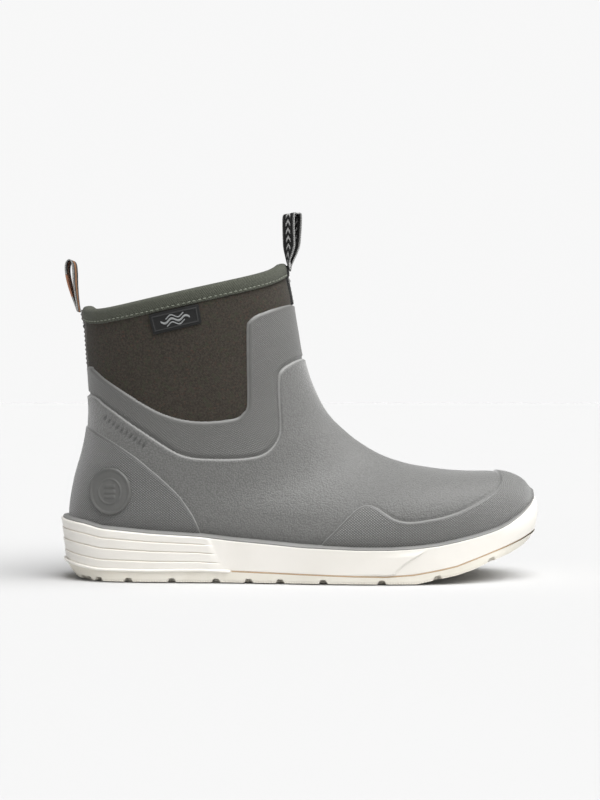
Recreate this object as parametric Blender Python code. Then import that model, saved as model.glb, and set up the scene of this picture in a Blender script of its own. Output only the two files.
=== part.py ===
"""A right-foot deck boot: rubber cup sole, rubberised upper, neoprene shaft and two webbing pull loops.

The toe points along +X and +Z is up. The origin is on the floor under the middle of the sole.
Lengths in the constants below are millimetres; meshes are made in metres.
"""
import math

import bmesh
import bpy
import numpy as np
from mathutils import Vector
from mathutils.bvhtree import BVHTree

MM = 0.001
GAP = 0.3                  # clearance between touching pieces
COLUMNS = 24               # points round the leg
STATIONS = 10              # points along each straight side of the sole
END_STATIONS = 11          # points round the heel and round the toe

# Depth of each layer below (-) or above (+) the outer face of the upper.
VAMP = (-2.2, 0.0)
BAND = (-2.2, -0.9)
OVERLAY = (0.3, 1.3)
NEOPRENE = (-5.5, -2.5)
LINING = (-6.8, -5.8)
STRAP = (-2.2, -1.2)
LABEL = (-2.2, -0.9)
LABEL_MARK = (-0.6, 0.0)
DISC = (1.6, 2.9)
FOOTBED_EDGE = -8.2

WELT_THICK = 2.0
CUP_GAP = 2.3              # room between the upper and the cup, which are both faceted
LEDGE = 4.4                # how far the welt stands out from the upper
SOLE_PLATE = 3.8
STRIPE_TALL = 1.0
FOOTBED_THICK = 4.5
COVER_THICK = 1.0
HINGE_FRONT = (-6.4, 198.6)
HINGE_REAR = (-143.7, 171.8)
WEBBING_WIDTH = 15.0

# Sections of the boot from the collar to the toe. Each row: front point (x, z), back or bottom
# point (x, z), outer and inner half width, sideways shift, height of the widest place as a share
# of the section, and the roundness powers of its front and back halves.
SECTIONS = [
    (-8.1, 202.2, -141.8, 173.6, 49.0, 49.0, 0.0, 0.50, 2.05, 2.05),
    (-3.9, 182.0, -140.2, 151.0, 47.5, 47.5, 0.0, 0.50, 2.05, 2.05),
    (-0.2, 160.0, -138.6, 128.0, 45.5, 45.5, 0.0, 0.50, 2.05, 2.05),
    (3.2, 141.2, -137.4, 106.0, 43.5, 43.5, 0.0, 0.50, 2.00, 2.05),
    (9.0, 123.0, -140.0, 86.0, 42.0, 42.0, 0.0, 0.48, 1.95, 2.15),
    (18.0, 106.0, -146.0, 63.0, 41.0, 41.0, 0.0, 0.47, 1.90, 2.35),
    (31.0, 93.0, -148.9, 42.0, 40.5, 39.0, 0.0, 0.45, 1.85, 2.50),
    (43.0, 84.3, -146.0, 27.5, 40.5, 38.0, 0.0, 0.43, 1.85, 2.55),
    (54.0, 78.5, -124.0, 21.5, 41.0, 37.0, 0.0, 0.42, 1.85, 2.60),
    (64.0, 74.9, -84.0, 19.8, 42.5, 37.5, 0.0, 0.42, 1.90, 2.80),
    (73.0, 72.6, -42.0, 16.0, 46.0, 41.0, 0.0, 0.42, 2.00, 3.00),
    (82.0, 71.1, 0.0, 12.8, 51.5, 46.5, 0.0, 0.40, 2.10, 3.00),
    (91.0, 69.8, 38.0, 11.5, 53.8, 49.8, 0.5, 0.38, 2.20, 3.00),
    (101.0, 68.8, 70.0, 12.0, 52.0, 50.8, 1.0, 0.36, 2.30, 3.00),
    (112.0, 68.3, 96.0, 14.5, 47.0, 50.0, 2.0, 0.36, 2.40, 3.00),
    (123.0, 68.2, 114.0, 19.0, 41.0, 44.5, 3.0, 0.38, 2.40, 2.80),
    (134.4, 67.1, 129.0, 25.5, 33.5, 36.5, 4.5, 0.42, 2.30, 2.50),
    (144.2, 62.8, 140.0, 33.0, 24.5, 26.5, 5.5, 0.46, 2.10, 2.20),
    (149.8, 56.5, 147.4, 41.0, 14.0, 15.5, 6.0, 0.50, 2.00, 2.00),
]
TOE_TIP = (151.2, 6.0, 49.5)

# The collar dips at the sides by this much, and the dip fades out over this many steps down the leg.
COLLAR_DIP = 7.8
DIP_STEPS = 3.0

RING_STEPS = [0, 0.5, 1, 1.5, 2, 2.5, 3, 3.5, 4, 4.5, 5, 6, 7, 8, 9, 10, 11, 12, 13, 14, 15, 16, 17, 18]

# Height of level lines along the boot, each a list of (x, z).
WELT_LINE = [(-154, 41.5), (-150, 40.4), (-136, 38.4), (-125, 35.6), (-94, 32.7), (-63, 30.8), (-41, 28.3),
             (-19, 26.4), (0, 24.7), (34, 23.3), (55, 23.3), (72, 24.2), (86, 25.8), (97, 27.9), (108, 30.2),
             (119, 33.0), (126, 35.2), (132, 37.9), (140, 42.7), (147.5, 48.6), (151.7, 53.2), (155, 56.0)]
STRIPE_LINE = [(-154, 12.2), (-150, 11.7), (-140, 9.5), (-127, 7.7), (-94, 7.4), (-63, 7.9), (-42, 7.1), (0, 5.8),
               (34, 4.9), (53, 4.7), (70, 5.8), (86, 8.5), (97, 10.7), (108, 14.5), (119, 18.2), (131, 22.4),
               (140, 25.8), (147, 28.8), (155, 31.8)]
INSOLE_LINE = [(-154, 21.0), (-100, 20.4), (-84, 19.6), (-42, 15.8), (0, 12.6), (38, 11.3), (70, 11.8),
               (96, 14.3), (114, 18.8), (154, 37.0)]
FLOOR_HEEL = -132.0
FLOOR_BALL = 72.0
TOE_SPRING = [(72, 0.0), (86, 2.9), (97, 4.9), (108, 8.2), (116, 11.5), (132, 16.9), (140, 20.4), (147, 23.8),
              (155, 27.0)]
HEEL_RISE = [(-154, 6.5), (-150, 4.4), (-144, 1.6), (-138, 0.4), (-132, 0.0)]

# Panel outlines seen from the side, each a list of (x, z) from back to front.
OPENING_EDGE = [(-175, 140.0), (-137.8, 135.5), (-133.3, 133.4), (-123.2, 125.9), (-106.3, 115.5), (-95.0, 109.2),
                (-84.0, 104.4), (-72.8, 101.4), (-61.9, 100.3), (-50.6, 100.7), (-39.4, 102.5), (-34.4, 106.3),
                (-32.0, 111.5), (-32.0, 133.2), (-31.9, 159.5), (-31.0, 162.8), (-29.2, 165.2), (-25.0, 168.0),
                (-20.5, 169.8), (-14.8, 172.1), (-2.9, 176.0), (25.0, 184.0)]
BAND_EDGE = [(-175, 120.0), (-137.0, 117.5), (-124.3, 110.6), (-107.2, 99.4), (-90.6, 88.8), (-80.0, 82.2),
             (-72.5, 79.0), (-63.8, 77.4), (-47.5, 76.9), (-33.8, 77.5), (-24.0, 79.5), (-17.5, 83.8),
             (-12.8, 91.3), (-11.9, 98.8), (-12.6, 114.4), (-12.6, 128.0), (-10.8, 133.0), (-6.0, 136.8),
             (3.1, 141.1), (25.0, 147.0)]
COUNTER_EDGE = [(-175, 110.0), (-137.5, 97.8), (-127.3, 92.8), (-114.7, 85.9), (-103.3, 78.6), (-92.7, 70.2),
                (-82.7, 61.5), (-75.3, 54.1), (-70.0, 46.6), (-66.5, 41.0), (-62.5, 31.5)]
GUARD_EDGE = [(13.3, 24.5), (22.2, 33.8), (30.5, 42.2), (35.5, 46.6), (39.8, 48.6), (43.9, 48.8), (48.3, 46.9),
              (53.5, 43.5), (58.8, 40.4), (65.3, 38.9), (72.2, 39.0), (79.0, 40.0), (88.3, 41.6), (99.5, 44.9),
              (108.9, 49.1), (116.9, 53.2), (122.9, 57.1), (125.5, 60.4), (127.4, 64.0), (127.0, 90.0)]
LABEL_CORNERS = [(-95.0, 167.4), (-62.7, 174.3), (-60.6, 161.6), (-91.6, 154.3)]
DISC_CENTRE = (-119.0, 57.0)
DISC_RADIUS = 14.5

FRONT_LOOP = [(-7.7, 205.0), (-9.8, 213.0), (-10.6, 225.0), (-9.0, 232.6), (-5.2, 235.4), (-1.2, 233.2),
              (-0.2, 226.0), (-1.6, 216.0), (-4.2, 206.0)]
REAR_LOOP = [(-148.8, 182.5), (-151.4, 191.0), (-152.0, 199.0), (-150.9, 203.0), (-148.6, 204.3), (-146.3, 203.0),
             (-145.2, 199.0), (-145.1, 190.0), (-144.6, 181.0)]

NEOPRENE_COLOUR = (0.066, 0.055, 0.045)
RUBBER_GREY = (0.20, 0.20, 0.185)
BAND_GREY = (0.125, 0.125, 0.115)
WALL_WHITE = (0.80, 0.77, 0.71)
SOLE_CREAM = (0.70, 0.66, 0.57)


def clear_scene():
    """Remove whatever the file holds."""
    for obj in list(bpy.data.objects):
        bpy.data.objects.remove(obj, do_unlink=True)


def make_material(name, colour, roughness, metallic=0.0):
    """A plain Principled material."""
    material = bpy.data.materials.new(name)
    material.use_nodes = True
    shader = material.node_tree.nodes["Principled BSDF"]
    shader.inputs["Base Color"].default_value = (*colour, 1.0)
    shader.inputs["Roughness"].default_value = roughness
    shader.inputs["Metallic"].default_value = metallic
    return material


def add_object(name, points, faces, material=None, origin=(0.0, 0.0, 0.0)):
    """Make an object from points in millimetres, with its origin at the given place."""
    base = Vector(origin)
    mesh = bpy.data.meshes.new(name)
    mesh.from_pydata([(Vector(p) - base) * MM for p in points], [], faces)
    mesh.validate()
    bm = bmesh.new()
    bm.from_mesh(mesh)
    bmesh.ops.recalc_face_normals(bm, faces=bm.faces)
    bm.to_mesh(mesh)
    bm.free()
    mesh.shade_smooth()
    mesh.set_sharp_from_angle(angle=math.radians(35))
    obj = bpy.data.objects.new(name, mesh)
    obj.location = base * MM
    bpy.context.scene.collection.objects.link(obj)
    if material is not None:
        mesh.materials.append(material)
    return obj


def hide_cutter(obj):
    """Keep a cutter out of the finished part."""
    obj.hide_render = True
    obj.display_type = 'WIRE'


def add_boolean(obj, cutter, operation):
    """Cut, or keep, the part of an object inside a cutter."""
    modifier = obj.modifiers.new(cutter.name, 'BOOLEAN')
    modifier.operation = operation
    modifier.object = cutter
    modifier.solver = 'EXACT'


def level(line, x):
    """Height of a level line at x."""
    return float(np.interp(x, [p[0] for p in line], [p[1] for p in line]))


def floor_height(x):
    """Underside of the outsole at x: flat on the ground, rising at the heel and toe."""
    if x < FLOOR_HEEL:
        return level(HEEL_RISE, x)
    if x > FLOOR_BALL:
        return level(TOE_SPRING, x)
    return 0.0


def sock_floor(x):
    """Lowest line of the upper at x."""
    rows = SECTIONS[7:]
    xs = [row[2] for row in rows]
    zs = [row[3] for row in rows]
    return float(np.interp(x, xs, zs))


def section_values(step):
    """The section at a fractional step, by a smooth cubic through the given sections."""
    rows = np.array(SECTIONS)
    last = len(rows) - 1
    i = min(int(step), last - 1)
    t = step - i
    p1 = rows[i]
    p2 = rows[i + 1]
    p0 = rows[max(i - 1, 0)]
    p3 = rows[min(i + 2, last)]
    m1 = (p2 - p0) / 2
    m2 = (p3 - p1) / 2
    return ((2 * t**3 - 3 * t**2 + 1) * p1 + (t**3 - 2 * t**2 + t) * m1
            + (3 * t**2 - 2 * t**3) * p2 + (t**3 - t**2) * m2)


def collar_dip(step, c, s):
    """How far the outer face drops below its flat section, most at the collar's sides."""
    fade = max(0.0, 1 - step / DIP_STEPS) ** 2
    return COLLAR_DIP * fade * 1.3 * s * s / (s * s + 0.3) * (1 - 0.12 * c)


def section_point(step, angle):
    """A point on the outer face: angle 0 is the front, a quarter turn is the outer side."""
    fx, fz, bx, bz, outer, inner, shift, widest, front_power, back_power = section_values(step)
    c = math.cos(angle)
    s = math.sin(angle)
    power = front_power if c >= 0 else back_power
    reach = (1 - widest) if c >= 0 else -widest
    along = widest + reach * abs(c) ** (2 / power)
    width = abs(s) ** (2 / power)
    y = shift - outer * width if s >= 0 else shift + inner * width
    return (bx + along * (fx - bx), y, bz + along * (fz - bz) - collar_dip(step, c, s))


def skin_grid(steps, columns):
    """Points and outward normals of the outer face on a grid of steps and columns."""
    angles = [2 * math.pi * k / columns for k in range(columns)]
    points = np.array([[section_point(step, angle) for angle in angles] for step in steps])
    tip = np.array(TOE_TIP)
    padded = np.concatenate([points, np.broadcast_to(tip, (1, columns, 3))])
    down = np.empty_like(points)
    down[0] = points[1] - points[0]
    down[1:] = padded[2:] - padded[:-2]
    across = np.roll(points, -1, axis=1) - np.roll(points, 1, axis=1)
    normals = np.cross(across, down)
    normals /= np.linalg.norm(normals, axis=2, keepdims=True)
    return points, normals


GRID_POINTS, GRID_NORMALS = skin_grid(RING_STEPS, COLUMNS)


def layer(offset):
    """The grid moved out by an offset, and its tip point."""
    rings = GRID_POINTS + GRID_NORMALS * offset
    tip = (TOE_TIP[0] + offset, TOE_TIP[1], TOE_TIP[2])
    return rings, tip


def ring_faces(rings, columns, start=0):
    """Triangles between successive rings, all split along the same diagonal."""
    faces = []
    for i in range(rings - 1):
        for k in range(columns):
            a = start + i * columns + k
            b = start + i * columns + (k + 1) % columns
            faces.append((a, b, b + columns))
            faces.append((a, b + columns, a + columns))
    return faces


def sock(name, inner_offset, outer_offset, material):
    """A thick closed-toe sock, open at the collar."""
    outer_rings, outer_tip = layer(outer_offset)
    inner_rings, inner_tip = layer(inner_offset)
    rings = len(RING_STEPS)
    count = rings * COLUMNS
    points = [*outer_rings.reshape(-1, 3), *inner_rings.reshape(-1, 3), outer_tip, inner_tip]
    faces = ring_faces(rings, COLUMNS) + ring_faces(rings, COLUMNS, count)
    last = (rings - 1) * COLUMNS
    for k in range(COLUMNS):
        after = (k + 1) % COLUMNS
        faces.append((last + k, last + after, 2 * count))
        faces.append((count + last + k, count + last + after, 2 * count + 1))
        faces.append((k, after, count + after))
        faces.append((k, count + after, count + k))
    return add_object(name, points, faces, material)


def solid_sock(name, offset):
    """The whole space inside one face of the sock, closed at the collar."""
    rings, tip = layer(offset)
    count = len(RING_STEPS) * COLUMNS
    points = [*rings.reshape(-1, 3), tip]
    faces = ring_faces(len(RING_STEPS), COLUMNS)
    last = count - COLUMNS
    for k in range(COLUMNS):
        faces.append((last + k, last + (k + 1) % COLUMNS, count))
    faces.append(tuple(range(COLUMNS)))
    return add_object(name, points, faces)


def prism(name, outline, y_low=-90.0, y_high=90.0):
    """A side outline pushed straight across the boot."""
    count = len(outline)
    points = [(x, y, z) for y in (y_low, y_high) for x, z in outline]
    faces = [tuple(range(count)), tuple(range(count, 2 * count))]
    for k in range(count):
        after = (k + 1) % count
        faces.append((k, after, count + after, count + k))
    cutter = add_object(name, points, faces)
    hide_cutter(cutter)
    return cutter


def panel(name, depth, outline, material, y_low=-90.0, y_high=90.0):
    """The part of one layer that lies inside a side outline."""
    obj = sock(name, depth[0], depth[1], material)
    add_boolean(obj, prism(name + "_outline", outline, y_low, y_high), 'INTERSECT')
    return obj


def moved(line, rise):
    """A line shifted up or down."""
    return [(x, z + rise) for x, z in line]


def beside(line, gap):
    """A line shifted square to itself, to its left."""
    points = np.array(line, dtype=float)
    run = np.gradient(points, axis=0)
    run /= np.linalg.norm(run, axis=1, keepdims=True)
    return [(x - dz * gap, z + dx * gap) for (x, z), (dx, dz) in zip(points, run)]


def patch(name, depth, steps, half_width, back, material):
    """A strip down the middle of the front or the back of the leg."""
    centre = math.pi if back else 0.0
    columns = 5
    rows = []
    for step in steps:
        values = section_values(step)
        spread = math.asin(half_width / values[4])
        rows.append([centre + spread * (2 * k / (columns - 1) - 1) for k in range(columns)])
    points = []
    small = 0.01
    for offset in depth:
        for step, angles in zip(steps, rows):
            for angle in angles:
                here = np.array(section_point(step, angle))
                along = np.array(section_point(step + small, angle)) - here
                across = np.array(section_point(step, angle + small)) - here
                normal = np.cross(across, along)
                points.append(here + normal / np.linalg.norm(normal) * offset)
    count = len(steps) * columns
    faces = []
    for i in range(len(steps) - 1):
        for k in range(columns - 1):
            a = i * columns + k
            quad = (a, a + 1, a + 1 + columns, a + columns)
            faces.append(quad)
            faces.append(tuple(count + v for v in quad))
    rim = [k for k in range(columns)]
    rim += [(i + 1) * columns - 1 for i in range(1, len(steps))]
    rim += [count - 1 - k for k in range(1, columns)]
    rim += [i * columns for i in range(len(steps) - 2, 0, -1)]
    for k, a in enumerate(rim):
        b = rim[(k + 1) % len(rim)]
        faces.append((a, b, count + b, count + a))
    return add_object(name, points, faces, material)


def skin_outline():
    """Plan outline of the upper where it meets the welt, and the outward direction at each station."""
    solid = solid_sock("outline_probe", 0.0)
    tree = BVHTree.FromObject(solid, bpy.context.evaluated_depsgraph_get())
    bpy.data.objects.remove(solid, do_unlink=True)
    heel = -112.0
    toe = 98.0
    rays = [((toe - (toe - heel) * k / STATIONS, 0.0), -90.0) for k in range(STATIONS + 1)]
    rays += [((heel, 0.0), -90.0 - 180.0 * k / (END_STATIONS + 1)) for k in range(1, END_STATIONS + 1)]
    rays += [((heel + (toe - heel) * k / STATIONS, 0.0), 90.0) for k in range(STATIONS + 1)]
    rays += [((toe, 0.0), 90.0 - 180.0 * k / (END_STATIONS + 1)) for k in range(1, END_STATIONS + 1)]
    outline = []
    for (x, y), degrees in rays:
        direction = Vector((math.cos(math.radians(degrees)), math.sin(math.radians(degrees)), 0.0))
        reach = 0.0
        for drop in (0.0, 0.0, 0.0, 2.0, 4.0, 6.0, 8.0):
            z = level(WELT_LINE, x + direction.x * reach) - drop
            start = Vector((x, y, z)) + direction * 200
            found = tree.ray_cast(start * MM, -direction)[0] / MM
            distance = direction.dot(found - Vector((x, y, z)))
            reach = distance if drop == 0.0 else max(reach, distance)
        hit = Vector((x, y, 0.0)) + direction * reach
        outline.append(Vector((hit.x, hit.y)))
    normals = []
    for k, point in enumerate(outline):
        tangent = outline[(k + 1) % len(outline)] - outline[k - 1]
        normals.append(Vector((-tangent.y, tangent.x)).normalized())
        if normals[-1].dot(point - Vector((0.0, 0.0))) < 0 and abs(point.y) > 20:
            normals[-1].negate()
    return outline, normals


def sole_ring(base, out, height):
    """One ring of the sole: moved out in plan, at a height that depends on x."""
    outline, normals = base
    ring = []
    for point, normal in zip(outline, normals):
        place = point + normal * out
        ring.append((place.x, place.y, height(place.x)))
    return ring


def band_of_rings(name, rings, material):
    """A closed band swept round the sole through the given rings."""
    count = len(rings[0])
    points = [p for ring in rings for p in ring]
    faces = []
    for i in range(len(rings)):
        j = (i + 1) % len(rings)
        for k in range(count):
            after = (k + 1) % count
            faces.append((i * count + k, i * count + after, j * count + after, j * count + k))
    return add_object(name, points, faces, material)


def ladder(count):
    """Faces that fill a ring of stations, straight across from side to side."""
    toe = 2 * (STATIONS + 1) + END_STATIONS + END_STATIONS // 2
    faces = []
    for k in range(count // 2):
        strip = [toe + k, toe + k + 1, toe - k - 1, toe - k]
        faces.append(tuple(dict.fromkeys(v % count for v in strip)))
    return faces


def plate(name, rings, material):
    """A plate closed across its first and last rings."""
    count = len(rings[0])
    points = [p for ring in rings for p in ring]
    faces = ladder(count)
    faces += [tuple(v + (len(rings) - 1) * count for v in face) for face in ladder(count)]
    for i in range(len(rings) - 1):
        for k in range(count):
            after = (k + 1) % count
            faces.append((i * count + k, i * count + after, (i + 1) * count + after, (i + 1) * count + k))
    return add_object(name, points, faces, material)


def make_sole(base):
    """Outsole, stripe, sidewall, foam core, welt and insole board."""
    cream = make_material("outsole_rubber", SOLE_CREAM, 0.6)
    white = make_material("sidewall_rubber", WALL_WHITE, 0.5)
    tan = make_material("stripe_rubber", (0.42, 0.30, 0.19), 0.6)
    grey = make_material("welt_rubber", (0.55, 0.55, 0.52), 0.6)
    foam = make_material("core_foam", (0.55, 0.55, 0.55), 0.9)
    board = make_material("board_fibre", (0.45, 0.36, 0.25), 0.9)

    def plate_top(x):
        return floor_height(x) + SOLE_PLATE

    def stripe(x):
        return max(level(STRIPE_LINE, x), floor_height(x) + SOLE_PLATE + 0.6)

    def welt(x):
        return level(WELT_LINE, x)

    def insole(x):
        return level(INSOLE_LINE, x)

    outsole = plate("outsole", [
        sole_ring(base, 1.2, floor_height),
        sole_ring(base, 2.9, lambda x: floor_height(x) + 1.0),
        sole_ring(base, 3.4, stripe),
        sole_ring(base, -0.6, stripe),
        sole_ring(base, -1.0, plate_top),
    ], cream)
    for k in range(9):
        x = FLOOR_HEEL + 12 + k * 22
        groove = prism("groove_%d" % k, [(x - 2.2, -2.0), (x + 2.2, -2.0), (x + 1.4, 1.6), (x - 1.4, 1.6)])
        add_boolean(outsole, groove, 'DIFFERENCE')
    band_of_rings("foxing_stripe", [
        sole_ring(base, 1.6, lambda x: stripe(x) + GAP),
        sole_ring(base, 3.9, lambda x: stripe(x) + GAP),
        sole_ring(base, 3.9, lambda x: stripe(x) + GAP + STRIPE_TALL),
        sole_ring(base, 1.6, lambda x: stripe(x) + GAP + STRIPE_TALL),
    ], tan)
    wall_low = 2 * GAP + STRIPE_TALL
    band_of_rings("midsole_wall", [
        sole_ring(base, CUP_GAP, lambda x: stripe(x) + wall_low),
        sole_ring(base, 3.2, lambda x: stripe(x) + wall_low),
        sole_ring(base, 4.3, lambda x: welt(x) - WELT_THICK - 2 * GAP - 1.0),
        sole_ring(base, 4.0, lambda x: welt(x) - WELT_THICK - 2 * GAP),
        sole_ring(base, CUP_GAP, lambda x: welt(x) - WELT_THICK - 2 * GAP),
    ], white)
    band_of_rings("welt", [
        sole_ring(base, CUP_GAP, lambda x: welt(x) - WELT_THICK),
        sole_ring(base, LEDGE, lambda x: welt(x) - WELT_THICK),
        sole_ring(base, LEDGE, lambda x: welt(x) - 0.4),
        sole_ring(base, LEDGE - 0.6, welt),
        sole_ring(base, CUP_GAP, welt),
    ], grey)
    plate("midsole_core", [
        sole_ring(base, -2.5, lambda x: plate_top(x) + GAP),
        sole_ring(base, -2.5, lambda x: insole(x) - 0.5),
    ], foam)
    plate("insole_board", [
        sole_ring(base, -13.0, lambda x: insole(x) + 0.2),
        sole_ring(base, -13.0, lambda x: insole(x) + 1.8),
    ], board)


def make_upper():
    """Neoprene sock, lining and the rubberised panels over them."""
    neoprene = make_material("neoprene", NEOPRENE_COLOUR, 0.85)
    knit = make_material("lining_knit", (0.10, 0.10, 0.10), 0.95)
    leather = make_material("upper_rubber", RUBBER_GREY, 0.6)
    texture = make_material("band_rubber", BAND_GREY, 0.55)
    guard_rubber = make_material("guard_rubber", (0.16, 0.16, 0.15), 0.55)
    sock("neoprene_bootie", *NEOPRENE, neoprene)
    sock("lining", *LINING, knit)
    band = OPENING_EDGE + list(reversed(beside(BAND_EDGE, 0.4)))
    panel("ankle_band", BAND, band, texture)
    underside = [(x, sock_floor(x) + 4.5) for x in (170, 147, 140, 129, 114, 96, 70, 38, 0, -42, -84, -124, -175)]
    panel("vamp_shell", VAMP, BAND_EDGE + [(200, 147)] + [(200, 45.5)] + underside, leather)
    above_welt = moved(WELT_LINE, 5 * GAP)
    heel_base = [(x, z) for x, z in reversed(above_welt) if x < -63]
    panel("heel_counter", OVERLAY, COUNTER_EDGE + heel_base + [(-175, 42.4)], texture)
    toe_base = [(x, z) for x, z in reversed(above_welt) if x > 13.5]
    panel("toe_guard", OVERLAY, GUARD_EDGE + [(175, 90), (175, 54.4)] + toe_base, guard_rubber)


def make_trim():
    """Emblem disc, side label and its raised mark."""
    pad = make_material("emblem_rubber", (0.13, 0.13, 0.12), 0.5)
    black = make_material("label_rubber", (0.02, 0.02, 0.02), 0.5)
    mark = make_material("label_mark_rubber", (0.35, 0.36, 0.36), 0.5)
    disc = []
    for k in range(20):
        turn = 2 * math.pi * k / 20
        disc.append((DISC_CENTRE[0] + DISC_RADIUS * math.cos(turn), DISC_CENTRE[1] + DISC_RADIUS * math.sin(turn)))
    panel("heel_disc", DISC, disc, pad, -90, -2)
    panel("side_label", LABEL, LABEL_CORNERS, black, -90, -2)
    centre = np.mean(LABEL_CORNERS, axis=0)
    inner = [tuple(centre + (np.array(corner) - centre) * 0.8) for corner in LABEL_CORNERS]
    panel("label_mark", LABEL_MARK, inner, mark, -90, -2)


def collar_sweep(name, section, material):
    """Sweep a section of (offset, height) round the collar."""
    first = GRID_POINTS[0]
    up = GRID_POINTS[0] - GRID_POINTS[1]
    up /= np.linalg.norm(up, axis=1, keepdims=True)
    rings = []
    for offset, height in section:
        rings.append([tuple(p) for p in first + GRID_NORMALS[0] * offset + up * height])
    return band_of_rings(name, rings, material)


def make_collar():
    """The folded tape over the collar edge and its seam thread."""
    twill = make_material("binding_twill", (0.11, 0.125, 0.09), 0.9)
    thread = make_material("seam_thread", (0.30, 0.32, 0.27), 0.8)
    collar_sweep("topline_binding", [
        (-2.2, -7.5), (-1.2, -7.5), (-1.2, 0.9), (-1.8, 1.4), (-7.5, 1.4), (-8.0, 0.9), (-8.0, -7.5), (-7.1, -7.5),
        (-7.1, 0.4), (-2.2, 0.4),
    ], twill)
    collar_sweep("binding_thread", [(-0.9, -6.8), (-0.3, -6.8), (-0.3, -6.0), (-0.9, -6.0)], thread)


def make_straps():
    """Webbing tails sewn down the leg, and the stitch blocks at their tops."""
    webbing = make_material("strap_webbing", (0.05, 0.05, 0.05), 0.9)
    tack = make_material("bartack_thread", (0.25, 0.25, 0.24), 0.8)
    patch("front_strap", STRAP, [0.48, 0.75, 1.05], 6.5, False, webbing)
    patch("rear_strap", STRAP, [0.48, 0.8, 1.2, 1.55], 7.5, True, webbing)
    lift = (STRAP[1] + GAP, STRAP[1] + GAP + 0.8)
    patch("front_bartack", lift, [0.49, 0.59], 5.5, False, tack)
    patch("rear_bartack", lift, [0.50, 0.62], 6.5, True, tack)


def webbing_loop(name, path, root, thickness, width, material):
    """A standing loop of webbing whose root is rounded about its fold axis."""
    roundness = 1.1
    centre = []
    for x, z in path:
        centre.append(Vector((x, z)))
    for k in range(5):
        turn = -math.pi * k / 4
        centre.append(Vector(root) + Vector((math.cos(turn), math.sin(turn))) * roundness)
    count = len(centre)
    outer = []
    inner = []
    for k, point in enumerate(centre):
        tangent = (centre[(k + 1) % count] - centre[k - 1]).normalized()
        side = Vector((-tangent.y, tangent.x)) * thickness / 2
        outer.append(point + side)
        inner.append(point - side)
    points = []
    for y in (-width / 2, width / 2):
        points += [(p.x, y, p.y) for p in outer]
        points += [(p.x, y, p.y) for p in inner]
    faces = []
    for k in range(count):
        after = (k + 1) % count
        o0, o1, i0, i1 = k, after, count + k, count + after
        far = 2 * count
        faces.append((o0, o1, i1, i0))
        faces.append((far + o0, far + i0, far + i1, far + o1))
        faces.append((o0, far + o0, far + o1, o1))
        faces.append((i0, i1, far + i1, far + i0))
    return add_object(name, points, faces, material, (root[0], 0.0, root[1]))


def make_loops():
    """The two finger loops, each with its origin on its fold axis."""
    black = make_material("front_loop_webbing", (0.02, 0.02, 0.02), 0.85)
    brown = make_material("rear_loop_webbing", (0.16, 0.10, 0.06), 0.85)
    webbing_loop("front_pull_loop", FRONT_LOOP, HINGE_FRONT, 1.0, WEBBING_WIDTH, black)
    webbing_loop("rear_pull_loop", REAR_LOOP, HINGE_REAR, 0.9, WEBBING_WIDTH, brown)


def make_footbed():
    """The drop-in insole and its textile cover."""
    foam = make_material("footbed_foam", (0.12, 0.16, 0.22), 0.9)
    cover = make_material("footbed_textile", (0.08, 0.08, 0.09), 0.95)
    xs = (165, 147, 140, 129, 114, 96, 70, 38, 0, -42, -84, -124, -165)
    rise = -FOOTBED_EDGE + FOOTBED_THICK
    top = [(x, sock_floor(x) + rise) for x in xs]
    for name, low, high, material in (
        ("footbed", [(-165, -20), (165, -20)], top, foam),
        ("footbed_cover", moved(list(reversed(top)), GAP), moved(top, GAP + COVER_THICK), cover),
    ):
        obj = solid_sock(name, FOOTBED_EDGE)
        obj.data.materials.append(material)
        add_boolean(obj, prism(name + "_outline", low + high), 'INTERSECT')


def main():
    clear_scene()
    base = skin_outline()
    make_sole(base)
    make_upper()
    make_trim()
    make_collar()
    make_straps()
    make_loops()
    make_footbed()


main()
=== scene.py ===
"""The looks of a right-foot deck boot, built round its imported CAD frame.

Lengths in the constants are millimetres in the frame's own axes: toe along +X, outer side toward -Y.
"""
import math

import bpy
import numpy as np
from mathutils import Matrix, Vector
from mathutils.bvhtree import BVHTree


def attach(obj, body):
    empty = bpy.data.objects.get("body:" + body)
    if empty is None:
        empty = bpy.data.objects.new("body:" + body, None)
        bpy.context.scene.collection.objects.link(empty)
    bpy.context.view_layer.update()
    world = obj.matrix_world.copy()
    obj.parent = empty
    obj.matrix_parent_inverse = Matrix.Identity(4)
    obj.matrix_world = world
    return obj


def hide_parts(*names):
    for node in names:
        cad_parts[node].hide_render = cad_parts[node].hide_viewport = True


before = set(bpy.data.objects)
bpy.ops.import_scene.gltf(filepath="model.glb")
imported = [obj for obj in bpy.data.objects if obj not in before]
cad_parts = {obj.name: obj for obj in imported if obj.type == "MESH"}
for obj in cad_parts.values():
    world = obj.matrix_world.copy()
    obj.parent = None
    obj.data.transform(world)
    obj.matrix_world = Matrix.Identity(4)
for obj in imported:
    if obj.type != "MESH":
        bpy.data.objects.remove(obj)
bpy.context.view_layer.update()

MM = 0.001
TURN = 2 * math.pi

# ---------------------------------------------------------------- form of the boot, as in the CAD

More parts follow.
